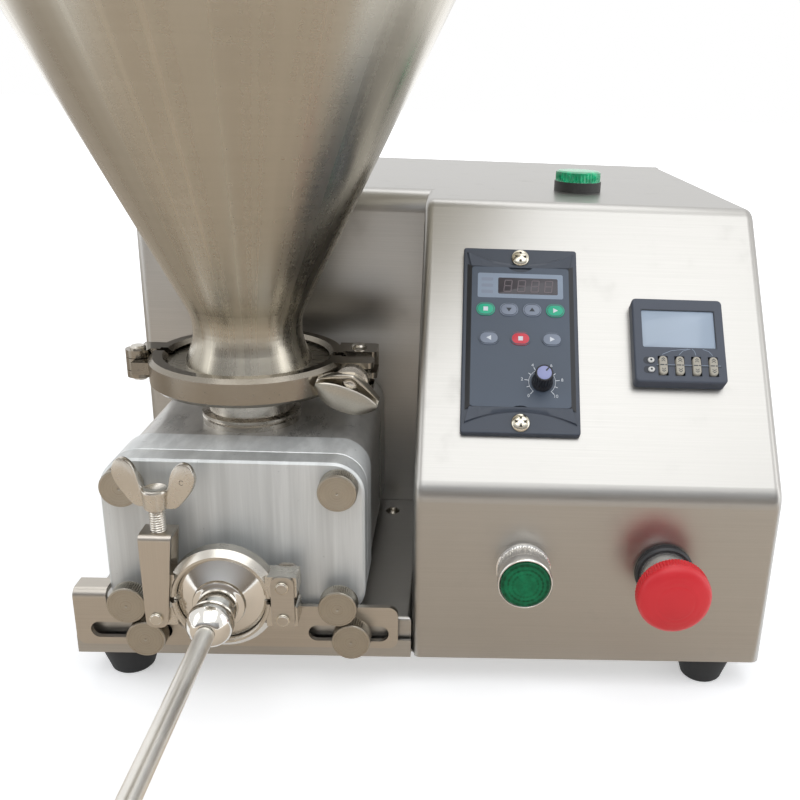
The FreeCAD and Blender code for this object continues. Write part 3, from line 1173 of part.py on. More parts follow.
def make_outlet_clamp_upper():
    """The upper half: a pad under the stud on the left and a link lug on the right."""
    reach = 2 * LINK_LUG_RIGHT
    ring = small_clamp_ring().common(box(-reach, reach, -reach, reach, SMALL_CLAMP_SPLIT, reach))
    inner = SMALL_CLAMP_OPENING
    left = small_lug(YOKE_X - STUD_RADIUS - 1, -inner, UPPER_LUG_BOTTOM, UPPER_LUG_TOP, YOKE_LUG_HALF)
    right = small_lug(inner, LINK_LUG_RIGHT, SMALL_CLAMP_SPLIT + 1, LINK_LUG_TOP, SMALL_CLAMP_WIDTH / 2)
    hole = rod(V(LINK_X, -reach, LINK_HALF_PITCH), Y_AXIS, LINK_SCREW_RADIUS + THREAD_PLAY, 2 * reach)
    return place_small_clamp(join([ring, left, right]).cut(hole))


def make_outlet_clamp_lower():
    """The lower half: the yoke's pivot lug on the left and a link lug on the right."""
    reach = 2 * LINK_LUG_RIGHT
    ring = small_clamp_ring().common(box(-reach, reach, -reach, reach, -reach, -SMALL_CLAMP_SPLIT))
    inner = SMALL_CLAMP_OPENING
    left = small_lug(LUG_LEFT, -inner, 2 * YOKE_PIVOT_Z - LOWER_LUG_TOP, LOWER_LUG_TOP, YOKE_LUG_HALF)
    right = small_lug(inner, LINK_LUG_RIGHT, -LINK_LUG_TOP, -SMALL_CLAMP_SPLIT - 1, SMALL_CLAMP_WIDTH / 2)
    holes = [rod(V(LINK_X, -reach, -LINK_HALF_PITCH), Y_AXIS, LINK_SCREW_RADIUS + THREAD_PLAY, 2 * reach),
             rod(V(YOKE_PIVOT_X, -reach, YOKE_PIVOT_Z), Y_AXIS, YOKE_PIN_RADIUS + THREAD_PLAY, 2 * reach)]
    return place_small_clamp(join([ring, left, right]).cut(holes))


def cross_pin(radius, half_length, x, z):
    """A pin along y with a domed head in front, its other end flush, centred on y = 0."""
    head = half_length + LINK_HEAD_HEIGHT
    slope = LINK_HEAD_HEIGHT / 2
    profile = [(0, -half_length), (radius, -half_length), (radius, half_length), (LINK_HEAD_RADIUS, half_length),
               (LINK_HEAD_RADIUS, head - slope), (LINK_HEAD_RADIUS - slope, head), (0, head)]
    return turned(profile, V(x, 0, z), TO_FRONT)


def make_outlet_clamp_links():
    """The two link plates on the right with the two screws that join the halves."""
    half = SMALL_CLAMP_WIDTH / 2 + LINK_GAP
    pieces = []
    for y in (-half - LINK_THICKNESS, half):
        plate = rounded_plate(2 * LINK_HALF_WIDTH, 2 * LINK_END, 0.75 * LINK_HALF_WIDTH, LINK_THICKNESS)
        pieces.append(facing(plate, V(LINK_X, y + LINK_THICKNESS, 0), 90))
    for side in (-1, 1):
        pieces.append(cross_pin(LINK_SCREW_RADIUS, half + LINK_THICKNESS, LINK_X, side * LINK_HALF_PITCH))
    return place_small_clamp(join(pieces))


def make_outlet_yoke():
    """The bent sheet yoke: two legs that hang from a top bar and taper to the pivot."""
    half = YOKE_LUG_HALF + YOKE_GAP
    outer = half + YOKE_SHEET
    foot = YOKE_PIVOT_Z - YOKE_FOOT_RADIUS
    inner_top = YOKE_TOP - YOKE_SHEET
    path_out = [V(0, -outer, foot), V(0, -outer, YOKE_TOP), V(0, outer, YOKE_TOP), V(0, outer, foot)]
    path_in = [V(0, half, foot), V(0, half, inner_top), V(0, -half, inner_top), V(0, -half, foot)]
    edges = corner_path(path_out, [YOKE_BEND] * 2) + [Part.makeLine(path_out[-1], path_in[0])]
    edges += corner_path(path_in, [YOKE_BEND - YOKE_SHEET] * 2) + [Part.makeLine(path_in[-1], path_out[0])]
    section = Part.Face(Part.Wire(edges))
    section.translate(V(YOKE_X - 2 * YOKE_HALF_WIDTH, 0, 0))
    strip = section.extrude(V(4 * YOKE_HALF_WIDTH, 0, 0))
    near = -outer - 1
    over = YOKE_TOP + 1
    sides = [V(YOKE_X - YOKE_HALF_WIDTH, near, over), V(YOKE_PIVOT_X - YOKE_FOOT_RADIUS, near, foot),
             V(YOKE_PIVOT_X + YOKE_FOOT_RADIUS, near, foot), V(YOKE_X + YOKE_HALF_WIDTH, near, over)]
    middle = (sides[0] + sides[-1]) * 0.5
    round_foot = 0.8 * YOKE_FOOT_RADIUS
    wire = Part.Wire(corner_path([middle] + sides + [middle], [1.0, round_foot, round_foot, 1.0]))
    front_view = Part.Face(wire).extrude(V(0, 2 * outer + 2, 0))
    yoke = strip.common(front_view)
    holes = [rod(V(YOKE_PIVOT_X, near, YOKE_PIVOT_Z), Y_AXIS, YOKE_PIN_RADIUS + RUNNING, 2 * outer + 2),
             rod(V(YOKE_X, 0, inner_top - 1), Z_AXIS, STUD_RADIUS + THREAD_PLAY, YOKE_SHEET + 2)]
    return place_small_clamp(yoke.cut(holes))


def make_outlet_yoke_pin():
    """The pivot screw of the yoke through the lower half's lug."""
    half = YOKE_LUG_HALF + YOKE_GAP + YOKE_SHEET
    return place_small_clamp(cross_pin(YOKE_PIN_RADIUS, half, YOKE_PIVOT_X, YOKE_PIVOT_Z))


def wing_ear(side):
    """One flat upswept ear with a rounded tip, its root inside the hub."""
    root = STUD_HUB_RADIUS / 2
    outline = [V(root, 0, 0.04 * EAR_TOP), V(0.38 * EAR_REACH, 0, -0.05 * EAR_TOP),
               V(0.79 * EAR_REACH, 0, 0.38 * EAR_TIP), V(EAR_REACH, 0, EAR_TIP), V(0.76 * EAR_REACH, 0, EAR_TOP),
               V(0.43 * EAR_REACH, 0, 0.84 * EAR_TOP), V(1.1 * STUD_HUB_RADIUS, 0, 0.98 * STUD_HUB_HEIGHT),
               V(root, 0, 0.91 * STUD_HUB_HEIGHT)]
    middle = (outline[0] + outline[-1]) * 0.5
    radii = [0.4, 2.0, 8.0, 4.0, 4.5, 4.5, 2.0, 0.4]
    ear = Part.Face(Part.Wire(corner_path([middle] + outline + [middle], radii))).extrude(V(0, EAR_THICKNESS, 0))
    ear.translate(V(0, -EAR_THICKNESS / 2, 0))
    if side < 0:
        ear.rotate(V(0, 0, 0), Z_AXIS, 180)
    return ear


def make_outlet_wing_screw():
    """The threaded stud with its wing head, screwed down through the yoke on to the upper half."""
    tip = UPPER_LUG_TOP + STUD_TIP_GAP
    hub_low = YOKE_TOP + STUD_HUB_START
    hub_top = hub_low + STUD_HUB_HEIGHT
    dome = 0.8
    profile = [(0, tip), (STUD_RADIUS - 1.4, tip), (STUD_RADIUS, tip + dome), (STUD_RADIUS, hub_low),
               (STUD_HUB_RADIUS - 1, hub_low), (STUD_HUB_RADIUS, hub_low + 1), (STUD_HUB_RADIUS, hub_top - 1.5),
               (STUD_HUB_RADIUS - 1.5, hub_top), (0, hub_top)]
    stem = turned(profile, V(0, 0, 0))
    ears = [wing_ear(side) for side in (-1, 1)]
    for ear in ears:
        ear.translate(V(0, 0, hub_low))
    screw = join([stem] + ears)
    screw.rotate(V(0, 0, 0), Z_AXIS, EAR_TURN)
    screw.translate(V(YOKE_X, 0, 0))
    return place_small_clamp(screw)


def make_outlet_gasket():
    """The seal of the outlet joint."""
    seal = turned([(OUTLET_BORE_RADIUS, 0), (SMALL_FERRULE_RADIUS, 0), (SMALL_FERRULE_RADIUS, SMALL_GASKET),
                   (OUTLET_BORE_RADIUS, SMALL_GASKET)], V(0, 0, 0))
    return facing(seal, V(PORT_X, SMALL_JOINT_Y + SMALL_GASKET / 2, OUTLET_HEIGHT), 90)


def make_outlet_reducer():
    """The cone from the outlet's ferrule to the nozzle's collar."""
    bore = TUBE_RADIUS - TUBE_WALL
    collar_start = CONE_LENGTH
    end = collar_start + COLLAR_LENGTH
    edge = 0.6
    cone_foot = SMALL_FERRULE_LIP + (SMALL_FERRULE_RADIUS - CONE_BASE_RADIUS) * math.tan(math.radians(BIG_FERRULE_TAPER))
    profile = [(OUTLET_BORE_RADIUS, 0), (SMALL_FERRULE_RADIUS, 0), (SMALL_FERRULE_RADIUS, SMALL_FERRULE_LIP),
               (CONE_BASE_RADIUS, cone_foot), (COLLAR_RADIUS + 1, collar_start), (COLLAR_RADIUS, collar_start + edge),
               (COLLAR_RADIUS, end - edge), (COLLAR_RADIUS - edge, end), (bore, end),
               (bore, collar_start), (OUTLET_BORE_RADIUS, SMALL_FERRULE_LIP)]
    reducer = turned(profile, V(0, 0, 0))
    return facing(reducer, V(PORT_X, SMALL_JOINT_Y - SMALL_GASKET / 2, OUTLET_HEIGHT), 90)


def make_nozzle_nut():
    """The cap nut that holds the tube, rounded towards its front."""
    bulge = NUT_RADIUS
    seat = TUBE_RADIUS - TUBE_STEP
    points = [V(seat, 0, 0), V(bulge - 0.8, 0, 0), V(bulge, 0, 0.8), V(bulge, 0, NUT_LENGTH - NUT_DOME)]
    shoulder = V(TUBE_RADIUS + 1.4, 0, NUT_LENGTH)
    turn = V(bulge - 1.5, 0, NUT_LENGTH - NUT_DOME / 3)
    edges = [Part.makeLine(a, b) for a, b in zip(points, points[1:])]
    edges.append(Part.Arc(points[-1], turn, shoulder).toShape())
    edges.append(Part.makeLine(shoulder, V(seat, 0, NUT_LENGTH)))
    edges.append(Part.makeLine(V(seat, 0, NUT_LENGTH), points[0]))
    nut = Part.Face(Part.Wire(edges)).revolve(V(0, 0, 0), Z_AXIS, 360)
    return facing(nut, V(PORT_X, NUT_REAR, OUTLET_HEIGHT), 90)


def make_nozzle_tube():
    """The straight thin filling tube, thinner where the nut holds it, with its end eased."""
    bore = TUBE_RADIUS - TUBE_WALL
    seat = TUBE_RADIUS - TUBE_STEP
    shoulder = NUT_LENGTH + TUBE_SHOULDER
    length = NUT_LENGTH + TUBE_LENGTH
    profile = [(bore, 0), (seat, 0), (seat, shoulder), (TUBE_RADIUS, shoulder), (TUBE_RADIUS, length - BEVEL_LENGTH),
               (TUBE_RADIUS - BEVEL_LENGTH / 2, length), (bore, length)]
    return facing(turned(profile, V(0, 0, 0)), V(PORT_X, NUT_REAR, OUTLET_HEIGHT), 90)


def make_timer_case():
    """The square timer: a frame proud of the slope, a case behind it and pockets for its keys."""
    face = rounded_plate(TIMER_SIDE, TIMER_SIDE, TIMER_CORNER, TIMER_OUT)
    face = face.makeFillet(1.2, edges_in_plane(face, "Z", TIMER_OUT))
    case = rounded_plate(TIMER_CASE_SIDE, TIMER_CASE_SIDE, TIMER_CORNER, -TIMER_DEPTH)
    window = rounded_plate(LCD_WIDTH, LCD_HEIGHT, 1.0, LCD_RECESS + 1)
    window.translate(V(0, LCD_Y, TIMER_OUT - LCD_RECESS))
    cuts = [window]
    for index in range(ROCKER_COUNT):
        cuts.append(box(rocker_x(index) - ROCKER_WIDTH / 2 - APART, rocker_x(index) + ROCKER_WIDTH / 2 + APART,
                        ROCKER_Y - ROCKER_LENGTH / 2 - APART, ROCKER_Y + ROCKER_LENGTH / 2 + APART,
                        TIMER_OUT - KEY_POCKET_DEPTH, TIMER_OUT + 1))
    for y in MINI_BUTTON_Y:
        pocket = pill(MINI_BUTTON_WIDTH + 2 * SLIP, MINI_BUTTON_HEIGHT + 2 * SLIP, KEY_POCKET_DEPTH + 1)
        pocket.translate(V(MINI_BUTTON_X, y, TIMER_OUT - KEY_POCKET_DEPTH))
        cuts.append(pocket)
    return on_slope(join([face, case]).cut(cuts), TIMER_X, TIMER_S)


def rocker_x(index):
    """The centre of one rocker key, across the timer."""
    return ROCKER_FIRST_X + index * ROCKER_PITCH


def make_timer_rocker(index):
    """One rocker key, hollowed across its middle so that either end can be pressed."""
    top = ROCKER_PROUD
    half = ROCKER_LENGTH / 2
    dip = 0.5
    outline = Part.Wire([Part.makeLine(V(0, -half, -ROCKER_DEPTH + 1.0), V(0, -half, top)),
                         Part.Arc(V(0, -half, top), V(0, 0, top - dip), V(0, half, top)).toShape(),
                         Part.makeLine(V(0, half, top), V(0, half, -ROCKER_DEPTH + 1.0)),
                         Part.makeLine(V(0, half, -ROCKER_DEPTH + 1.0), V(0, 0, -ROCKER_DEPTH)),
                         Part.makeLine(V(0, 0, -ROCKER_DEPTH), V(0, -half, -ROCKER_DEPTH + 1.0))])
    pivot = rod(V(0, 0, -ROCKER_DEPTH), X_AXIS, ROCKER_PIVOT_RADIUS, ROCKER_WIDTH)
    key = join([Part.Face(outline).extrude(V(ROCKER_WIDTH, 0, 0)), pivot])
    key.translate(V(rocker_x(index) - ROCKER_WIDTH / 2, ROCKER_Y, TIMER_OUT))
    return on_slope(key, TIMER_X, TIMER_S)


def make_timer_button(index):
    """One small oval button of the timer."""
    button = pill(MINI_BUTTON_WIDTH, MINI_BUTTON_HEIGHT, MINI_BUTTON_PROUD + MINI_BUTTON_DEPTH)
    button.translate(V(MINI_BUTTON_X, MINI_BUTTON_Y[index], TIMER_OUT - MINI_BUTTON_DEPTH))
    return on_slope(button, TIMER_X, TIMER_S)


def make_controller_case():
    """The speed controller: a flat front plate and the case behind the slope."""
    plate = rounded_plate(CONTROLLER_WIDTH, CONTROLLER_HEIGHT, CONTROLLER_CORNER, CONTROLLER_OUT)
    plate = plate.makeFillet(0.8, edges_in_plane(plate, "Z", CONTROLLER_OUT))
    case = rounded_plate(CONTROLLER_CASE_WIDTH, CONTROLLER_CASE_HEIGHT, CONTROLLER_CORNER, -CONTROLLER_DEPTH)
    cuts = [Part.makeCylinder(DOME_SHANK_RADIUS + THREAD_PLAY, 3 * CONTROLLER_OUT,
                              V(0, side * CONTROLLER_SCREW_Y, -CONTROLLER_OUT)) for side in (-1, 1)]
    cuts.append(Part.makeCylinder(DIAL_SPINDLE_RADIUS + RUNNING, 8, V(DIAL_X, DIAL_Y, CONTROLLER_OUT - 6)))
    return on_slope(join([plate, case]).cut(cuts), CONTROLLER_X, CONTROLLER_S)


def key_places():
    """The membrane keys, as (x, y, length)."""
    top = [((column - 1.5) * TOP_KEY_PITCH, TOP_KEY_Y, TOP_KEY_LENGTH) for column in range(4)]
    low = [((column - 1) * LOW_KEY_PITCH, LOW_KEY_Y, LOW_KEY_LENGTH) for column in range(3)]
    return top + low


def make_controller_overlay():
    """The raised inner panel: scooped round the screws, with the display window and the key domes."""
    panel = rounded_plate(OVERLAY_WIDTH, OVERLAY_HEIGHT, 1.5, OVERLAY_OUT)
    panel.translate(V(0, OVERLAY_Y, CONTROLLER_OUT))
    cuts = [Part.makeCylinder(OVERLAY_SCOOP, 3 * OVERLAY_OUT, V(0, side * CONTROLLER_SCREW_Y, CONTROLLER_OUT - OVERLAY_OUT))
            for side in (-1, 1)]
    window = rounded_plate(DISPLAY_WIDTH, DISPLAY_HEIGHT, 1.0, 2 * DISPLAY_RECESS)
    window.translate(V(DISPLAY_X, DISPLAY_Y, CONTROLLER_OUT + OVERLAY_OUT - DISPLAY_RECESS))
    cuts.append(window)
    cuts.append(Part.makeCylinder(DIAL_SPINDLE_RADIUS + RUNNING, 4, V(DIAL_X, DIAL_Y, CONTROLLER_OUT - 1)))
    panel = panel.cut(cuts)
    keys = []
    for x, y, length in key_places():
        key = pill(length, TOP_KEY_HEIGHT, OVERLAY_OUT / 2 + KEY_OUT)
        key.translate(V(x, y, CONTROLLER_OUT + OVERLAY_OUT / 2))
        keys.append(key)
    return on_slope(join([panel] + keys), CONTROLLER_X, CONTROLLER_S)


def make_controller_screws():
    """The two domed screws that hold the controller to the slope."""
    screws = []
    for side in (-1, 1):
        screw = domed_screw(CONTROLLER_OUT + DOME_SHANK_LENGTH)
        screw.translate(V(0, side * CONTROLLER_SCREW_Y, CONTROLLER_OUT))
        screws.append(on_slope(screw, CONTROLLER_X, CONTROLLER_S))
    return Part.makeCompound(screws)


def make_speed_knob():
    """The speed dial's knob: a round skirt, a slimmer grip and a pointer line cut in its top."""
    seat = CONTROLLER_OUT + OVERLAY_OUT + APART
    profile = [(0, -3.0), (DIAL_SPINDLE_RADIUS, -3.0), (DIAL_SPINDLE_RADIUS, 0), (DIAL_SKIRT_RADIUS, 0),
               (DIAL_SKIRT_RADIUS, DIAL_SKIRT_HEIGHT / 2), (DIAL_RADIUS, DIAL_SKIRT_HEIGHT),
               (DIAL_RADIUS - 0.4, DIAL_HEIGHT - 0.5), (DIAL_RADIUS - 0.9, DIAL_HEIGHT), (0, DIAL_HEIGHT)]
    knob = turned(profile, V(0, 0, 0))
    groove = box(-0.4, 0.4, 0.8, DIAL_SKIRT_RADIUS + 1, DIAL_HEIGHT - 0.6, DIAL_HEIGHT + 1)
    flutes = []
    count = 12
    for index in range(count):
        angle = 2 * math.pi * (index + 0.5) / count
        flutes.append(Part.makeCylinder(0.7, DIAL_HEIGHT, V((DIAL_RADIUS + 0.25) * math.cos(angle),
                                                            (DIAL_RADIUS + 0.25) * math.sin(angle), DIAL_SKIRT_HEIGHT)))
    knob = knob.cut([groove] + flutes)
    knob.rotate(V(0, 0, 0), Z_AXIS, -40)
    knob.translate(V(DIAL_X, DIAL_Y, seat))
    return on_slope(knob, CONTROLLER_X, CONTROLLER_S)


def make_start_bezel():
    """The start button's chrome collar and ring in front, its barrel behind the panel."""
    well = START_LENS_RADIUS + SLIP
    floor = START_OUT - START_TRAVEL - 5.5
    profile = [(START_STEM_RADIUS + SLIP, -START_BARREL_DEPTH), (START_BARREL_RADIUS, -START_BARREL_DEPTH),
               (START_BARREL_RADIUS, 0), (START_RING_RADIUS - 0.5, 0), (START_RING_RADIUS - 0.5, 2.0),
               (START_COLLAR_RADIUS, 2.4), (START_COLLAR_RADIUS, START_COLLAR_OUT), (START_RING_RADIUS, START_COLLAR_OUT + 1.5),
               (START_RING_RADIUS, START_OUT - 1.0), (START_RING_RADIUS - 1.0, START_OUT), (well + 0.8, START_OUT),
               (well, START_OUT - 0.8), (well, floor), (START_STEM_RADIUS + SLIP, floor)]
    return on_front(turned(profile, V(0, 0, 0)), START_X, START_Z)


def make_start_lens():
    """The green lens on its stem: the part of the start button that is pressed."""
    rear = START_OUT - 4.5
    top = START_OUT + START_LENS_PROUD
    profile = [(0, -START_BARREL_DEPTH / 2), (START_STEM_RADIUS, -START_BARREL_DEPTH / 2), (START_STEM_RADIUS, rear),
               (START_LENS_RADIUS, rear), (START_LENS_RADIUS, top - 1.0), (START_LENS_RADIUS - 1.0, top),
               (START_LENS_RADIUS - 4.0, top + 0.4), (0, top + 0.6)]
    return on_front(turned(profile, V(0, 0, 0)), START_X, START_Z)


def make_stop_base():
    """The stop button's black seat ring in front of the panel and its barrel behind."""
    bore = STOP_STEM_RADIUS + SLIP
    profile = [(bore, -START_BARREL_DEPTH), (START_BARREL_RADIUS, -START_BARREL_DEPTH), (START_BARREL_RADIUS, 0),
               (STOP_BASE_RADIUS, 0), (STOP_BASE_RADIUS, STOP_BASE_OUT - 1), (STOP_BASE_RADIUS - 1, STOP_BASE_OUT),
               (bore, STOP_BASE_OUT)]
    return on_front(turned(profile, V(0, 0, 0)), STOP_X, STOP_Z)


def make_stop_collar():
    """The stop button's chrome collar between the seat ring and the head."""
    bore = STOP_STEM_RADIUS + SLIP
    profile = [(bore, STOP_BASE_OUT), (STOP_COLLAR_RADIUS, STOP_BASE_OUT), (STOP_COLLAR_RADIUS, STOP_COLLAR_OUT - 1.5),
               (STOP_COLLAR_RADIUS - 1.5, STOP_COLLAR_OUT), (bore, STOP_COLLAR_OUT)]
    return on_front(turned(profile, V(0, 0, 0)), STOP_X, STOP_Z)


def make_stop_head():
    """The red mushroom head with its stem."""
    rim = STOP_HEAD_REAR + STOP_HEAD_RIM
    crown = V(0, 0, rim + STOP_HEAD_DOME)
    shoulder = V(STOP_HEAD_RADIUS - 1.2, 0, rim)
    bulge = (shoulder.x ** 2 + STOP_HEAD_DOME ** 2) / (2 * STOP_HEAD_DOME)
    crest = V(shoulder.x / 2, 0, crown.z - bulge + math.sqrt(bulge ** 2 - (shoulder.x / 2) ** 2))
    points = [crown, V(0, 0, -START_BARREL_DEPTH / 2), V(STOP_STEM_RADIUS, 0, -START_BARREL_DEPTH / 2),
              V(STOP_STEM_RADIUS, 0, STOP_HEAD_REAR + 1.0), V(STOP_HEAD_RADIUS - 3.5, 0, STOP_HEAD_REAR),
              V(STOP_HEAD_RADIUS, 0, STOP_HEAD_REAR + 3.0), V(STOP_HEAD_RADIUS, 0, rim - 1.2), shoulder]
    edges = [Part.makeLine(a, b) for a, b in zip(points, points[1:])]
    edges.append(Part.Arc(shoulder, crest, crown).toShape())
    head = Part.Face(Part.Wire(edges)).revolve(V(0, 0, 0), Z_AXIS, 360)
    return on_front(head, STOP_X, STOP_Z)


def make_lamp_base():
    """The signal lamp's black base on the housing's top, with its tail inside."""
    profile = [(0, -LAMP_TAIL_DEPTH), (LAMP_TAIL_RADIUS, -LAMP_TAIL_DEPTH), (LAMP_TAIL_RADIUS, 0), (LAMP_RADIUS, 0),
               (LAMP_RADIUS, LAMP_BASE_HEIGHT), (0, LAMP_BASE_HEIGHT)]
    return turned(profile, V(LAMP_X, LAMP_Y, HOUSING_TOP))


def make_lamp_lens():
    """The signal lamp's green lens."""
    top = LAMP_BASE_HEIGHT + LAMP_LENS_HEIGHT
    profile = [(0, LAMP_BASE_HEIGHT), (LAMP_RADIUS - 0.6, LAMP_BASE_HEIGHT), (LAMP_RADIUS - 0.6, top - 1.5),
               (LAMP_RADIUS - 2.1, top), (0, top)]
    return turned(profile, V(LAMP_X, LAMP_Y, HOUSING_TOP))


def build_parts():
    """Every sub-part by name, placed in the machine's finished frame."""
    parts = {
        "base_tray": make_base_tray(),
        "bay_deck": make_bay_deck(),
        "housing_shell": make_housing_shell(),
        "rear_panel": make_rear_panel(),
        "housing_screws": make_housing_screws(),
        "rubber_feet": make_rubber_feet(),
        "power_inlet": make_power_inlet(),
        "lamp_base": make_lamp_base(),
        "lamp_lens": make_lamp_lens(),
        "controller_case": make_controller_case(),
        "controller_overlay": make_controller_overlay(),
        "controller_screws": make_controller_screws(),
        "speed_knob": make_speed_knob(),
        "timer_case": make_timer_case(),
        "start_bezel": make_start_bezel(),
        "start_lens": make_start_lens(),
        "stop_base": make_stop_base(),
        "stop_collar": make_stop_collar(),
        "stop_head": make_stop_head(),
        "pump_cover": make_pump_cover(),
        "chamber_plate": make_chamber_plate(),
        "pump_body": make_pump_body(),
        "drive_gear": make_drive_gear(),
        "idler_gear": make_idler_gear(),
        "shaft_coupling": make_shaft_coupling(),
        "gear_motor": make_gear_motor(),
        "motor_bracket": make_motor_bracket(),
        "retaining_bracket": make_retaining_bracket(),
        "bracket_screw_left": make_bracket_screw(BRACKET_KNOB_LEFT_X),
        "bracket_screw_right": make_bracket_screw(BRACKET_KNOB_RIGHT_X),
        "inlet_neck": make_inlet_neck(),
        "inlet_gasket": make_inlet_gasket(),
        "hopper": make_hopper(),
        "hopper_clamp_back": make_hopper_clamp_back(),
        "hopper_clamp_front": make_hopper_clamp_front(),
        "hopper_clamp_hinge_pin": make_hinge_pin(),
        "hopper_clamp_bolt": make_swing_bolt(),
        "hopper_clamp_bolt_pin": make_bolt_pin(),
        "hopper_clamp_nut": make_hopper_clamp_nut(),
        "outlet_clamp_upper": make_outlet_clamp_upper(),
        "outlet_clamp_lower": make_outlet_clamp_lower(),
        "outlet_clamp_links": make_outlet_clamp_links(),
        "outlet_clamp_yoke": make_outlet_yoke(),
        "outlet_clamp_yoke_pin": make_outlet_yoke_pin(),
        "outlet_clamp_wing_screw": make_outlet_wing_screw(),
        "outlet_gasket": make_outlet_gasket(),
        "outlet_reducer": make_outlet_reducer(),
        "nozzle_nut": make_nozzle_nut(),
        "nozzle_tube": make_nozzle_tube(),
    }
    for index in range(ROCKER_COUNT):
        parts["timer_rocker_%d" % (index + 1)] = make_timer_rocker(index)
    for index in range(len(MINI_BUTTON_Y)):
        parts["timer_button_%d" % (index + 1)] = make_timer_button(index)
    for index in range(len(cover_knob_places())):
        parts["cover_screw_%d" % (index + 1)] = make_cover_screw(index)
    for shape in parts.values():
        shape.translate(V(-ORIGIN_X, -ORIGIN_Y, 0))
    return parts


def main():
    """Write one file for each sub-part and print what was made."""
    os.makedirs("parts", exist_ok=True)
    parts = build_parts()
    for name, shape in parts.items():
        shape.exportStep("parts/%s.step" % name)
    whole = Part.makeCompound(list(parts.values())).BoundBox
    print("nodes", len(parts))
    print("box x %.2f %.2f  y %.2f %.2f  z %.2f %.2f" % (whole.XMin, whole.XMax, whole.YMin, whole.YMax,
                                                         whole.ZMin, whole.ZMax))
    print("origin shift", -ORIGIN_X, -ORIGIN_Y)


if __name__ == "__main__":
    main()
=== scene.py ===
"""Looks of a tabletop cream filling machine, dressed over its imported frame.

Sizes are millimetres from the console's lower left front corner (x right, y rear, z up), as the
machine is laid out; Spot turns them into metres in the frame.
"""
from __future__ import annotations

import json
import logging
import math
from dataclasses import dataclass, field
from enum import Enum
from typing import Callable, Iterable, Mapping, Sequence

import bmesh
import bpy
from mathutils import Matrix, Vector

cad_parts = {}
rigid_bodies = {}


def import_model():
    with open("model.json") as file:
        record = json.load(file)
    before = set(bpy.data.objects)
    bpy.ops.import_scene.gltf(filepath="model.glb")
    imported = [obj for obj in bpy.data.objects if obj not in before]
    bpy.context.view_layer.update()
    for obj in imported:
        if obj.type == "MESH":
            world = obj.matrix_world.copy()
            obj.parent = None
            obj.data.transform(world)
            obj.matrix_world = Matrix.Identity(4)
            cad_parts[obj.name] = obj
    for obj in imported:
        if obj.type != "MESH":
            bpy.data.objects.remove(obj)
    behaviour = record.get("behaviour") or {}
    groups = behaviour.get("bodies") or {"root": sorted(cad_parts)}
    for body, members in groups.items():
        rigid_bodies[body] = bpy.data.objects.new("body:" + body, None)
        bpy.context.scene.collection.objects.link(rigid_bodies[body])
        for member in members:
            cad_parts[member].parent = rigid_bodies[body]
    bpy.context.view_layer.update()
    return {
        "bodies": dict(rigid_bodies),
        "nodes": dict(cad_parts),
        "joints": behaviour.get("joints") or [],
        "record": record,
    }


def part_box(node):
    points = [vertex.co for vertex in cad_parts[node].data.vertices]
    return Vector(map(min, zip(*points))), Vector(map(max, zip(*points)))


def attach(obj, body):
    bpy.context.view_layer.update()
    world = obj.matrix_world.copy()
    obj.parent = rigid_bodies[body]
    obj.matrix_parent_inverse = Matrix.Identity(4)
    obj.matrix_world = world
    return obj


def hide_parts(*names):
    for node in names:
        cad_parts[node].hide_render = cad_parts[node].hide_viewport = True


LOG = logging.getLogger("filling_machine")
MM = 0.001
ORIGIN = Vector((31.35, -105.4, 0.0))
SHARP = math.radians(32)
SLOPE_RISE = (0.0, 0.6518, 0.7584)
SLOPE_OUT = (0.0, -0.7584, 0.6518)
KNEE_HEIGHT = 113.0
# The hopper stands at PORT_X, PORT_Y and the outlet leaves the pump at PORT_X, PORT_Z.
PORT_X = -92.2
PORT_Y = 71.0
PORT_Z = 60.0
Point = tuple[float, float]
Place = tuple[float, float, float]
Colour = tuple[float, float, float]
Ripple = Callable[[float, float, float], float]


# Shader expressions


class Socket:
    """A shader value; arithmetic on it adds Math nodes."""

    def __init__(self, graph: "Graph", link: bpy.types.NodeSocket) -> None:
        """Wraps a link.

        Args:
            graph: The node tree it belongs to.
            link: The output socket.
        """
        self.graph = graph
        self.link = link

    def math(self, operation: str, *others: "Socket | float", clamp: bool = False) -> "Socket":
        """Adds a Math node.

        Args:
            operation: The node's operation.
            others: Its further inputs.
            clamp: Whether the result is kept between 0 and 1.

        Returns:
            The result.
        """
        values = dict(enumerate((self, *others)))
        return self.graph.node("ShaderNodeMath", {"operation": operation, "use_clamp": clamp}, values)

    def __add__(self, other: "Socket | float") -> "Socket":
        """Returns the sum. Args: other: the second term."""
        return self.math("ADD", other)

    def __radd__(self, other: float) -> "Socket":
        """Returns the sum. Args: other: the first term."""
        return self.math("ADD", other)

    def __mul__(self, other: "Socket | float") -> "Socket":
        """Returns the product. Args: other: the second factor."""
        return self.math("MULTIPLY", other)

    def __sub__(self, other: "Socket | float") -> "Socket":
        """Returns the difference. Args: other: what is taken off."""
        return self.math("SUBTRACT", other)

    def __rsub__(self, other: float) -> "Socket":
        """Returns the difference. Args: other: what this is taken off."""
        return self.graph.node("ShaderNodeMath", {"operation": "SUBTRACT"}, {0: other, 1: self})

    def band(self, low: float, high: float) -> "Socket":
        """Maps a span smoothly to 0..1.

        Args:
            low: The value that becomes 0.
            high: The value that becomes 1.

        Returns:
            The mapped value.
        """
        inputs = {"Value": self, "From Min": low, "From Max": high}
        return self.graph.node("ShaderNodeMapRange", {"interpolation_type": "SMOOTHSTEP"}, inputs)


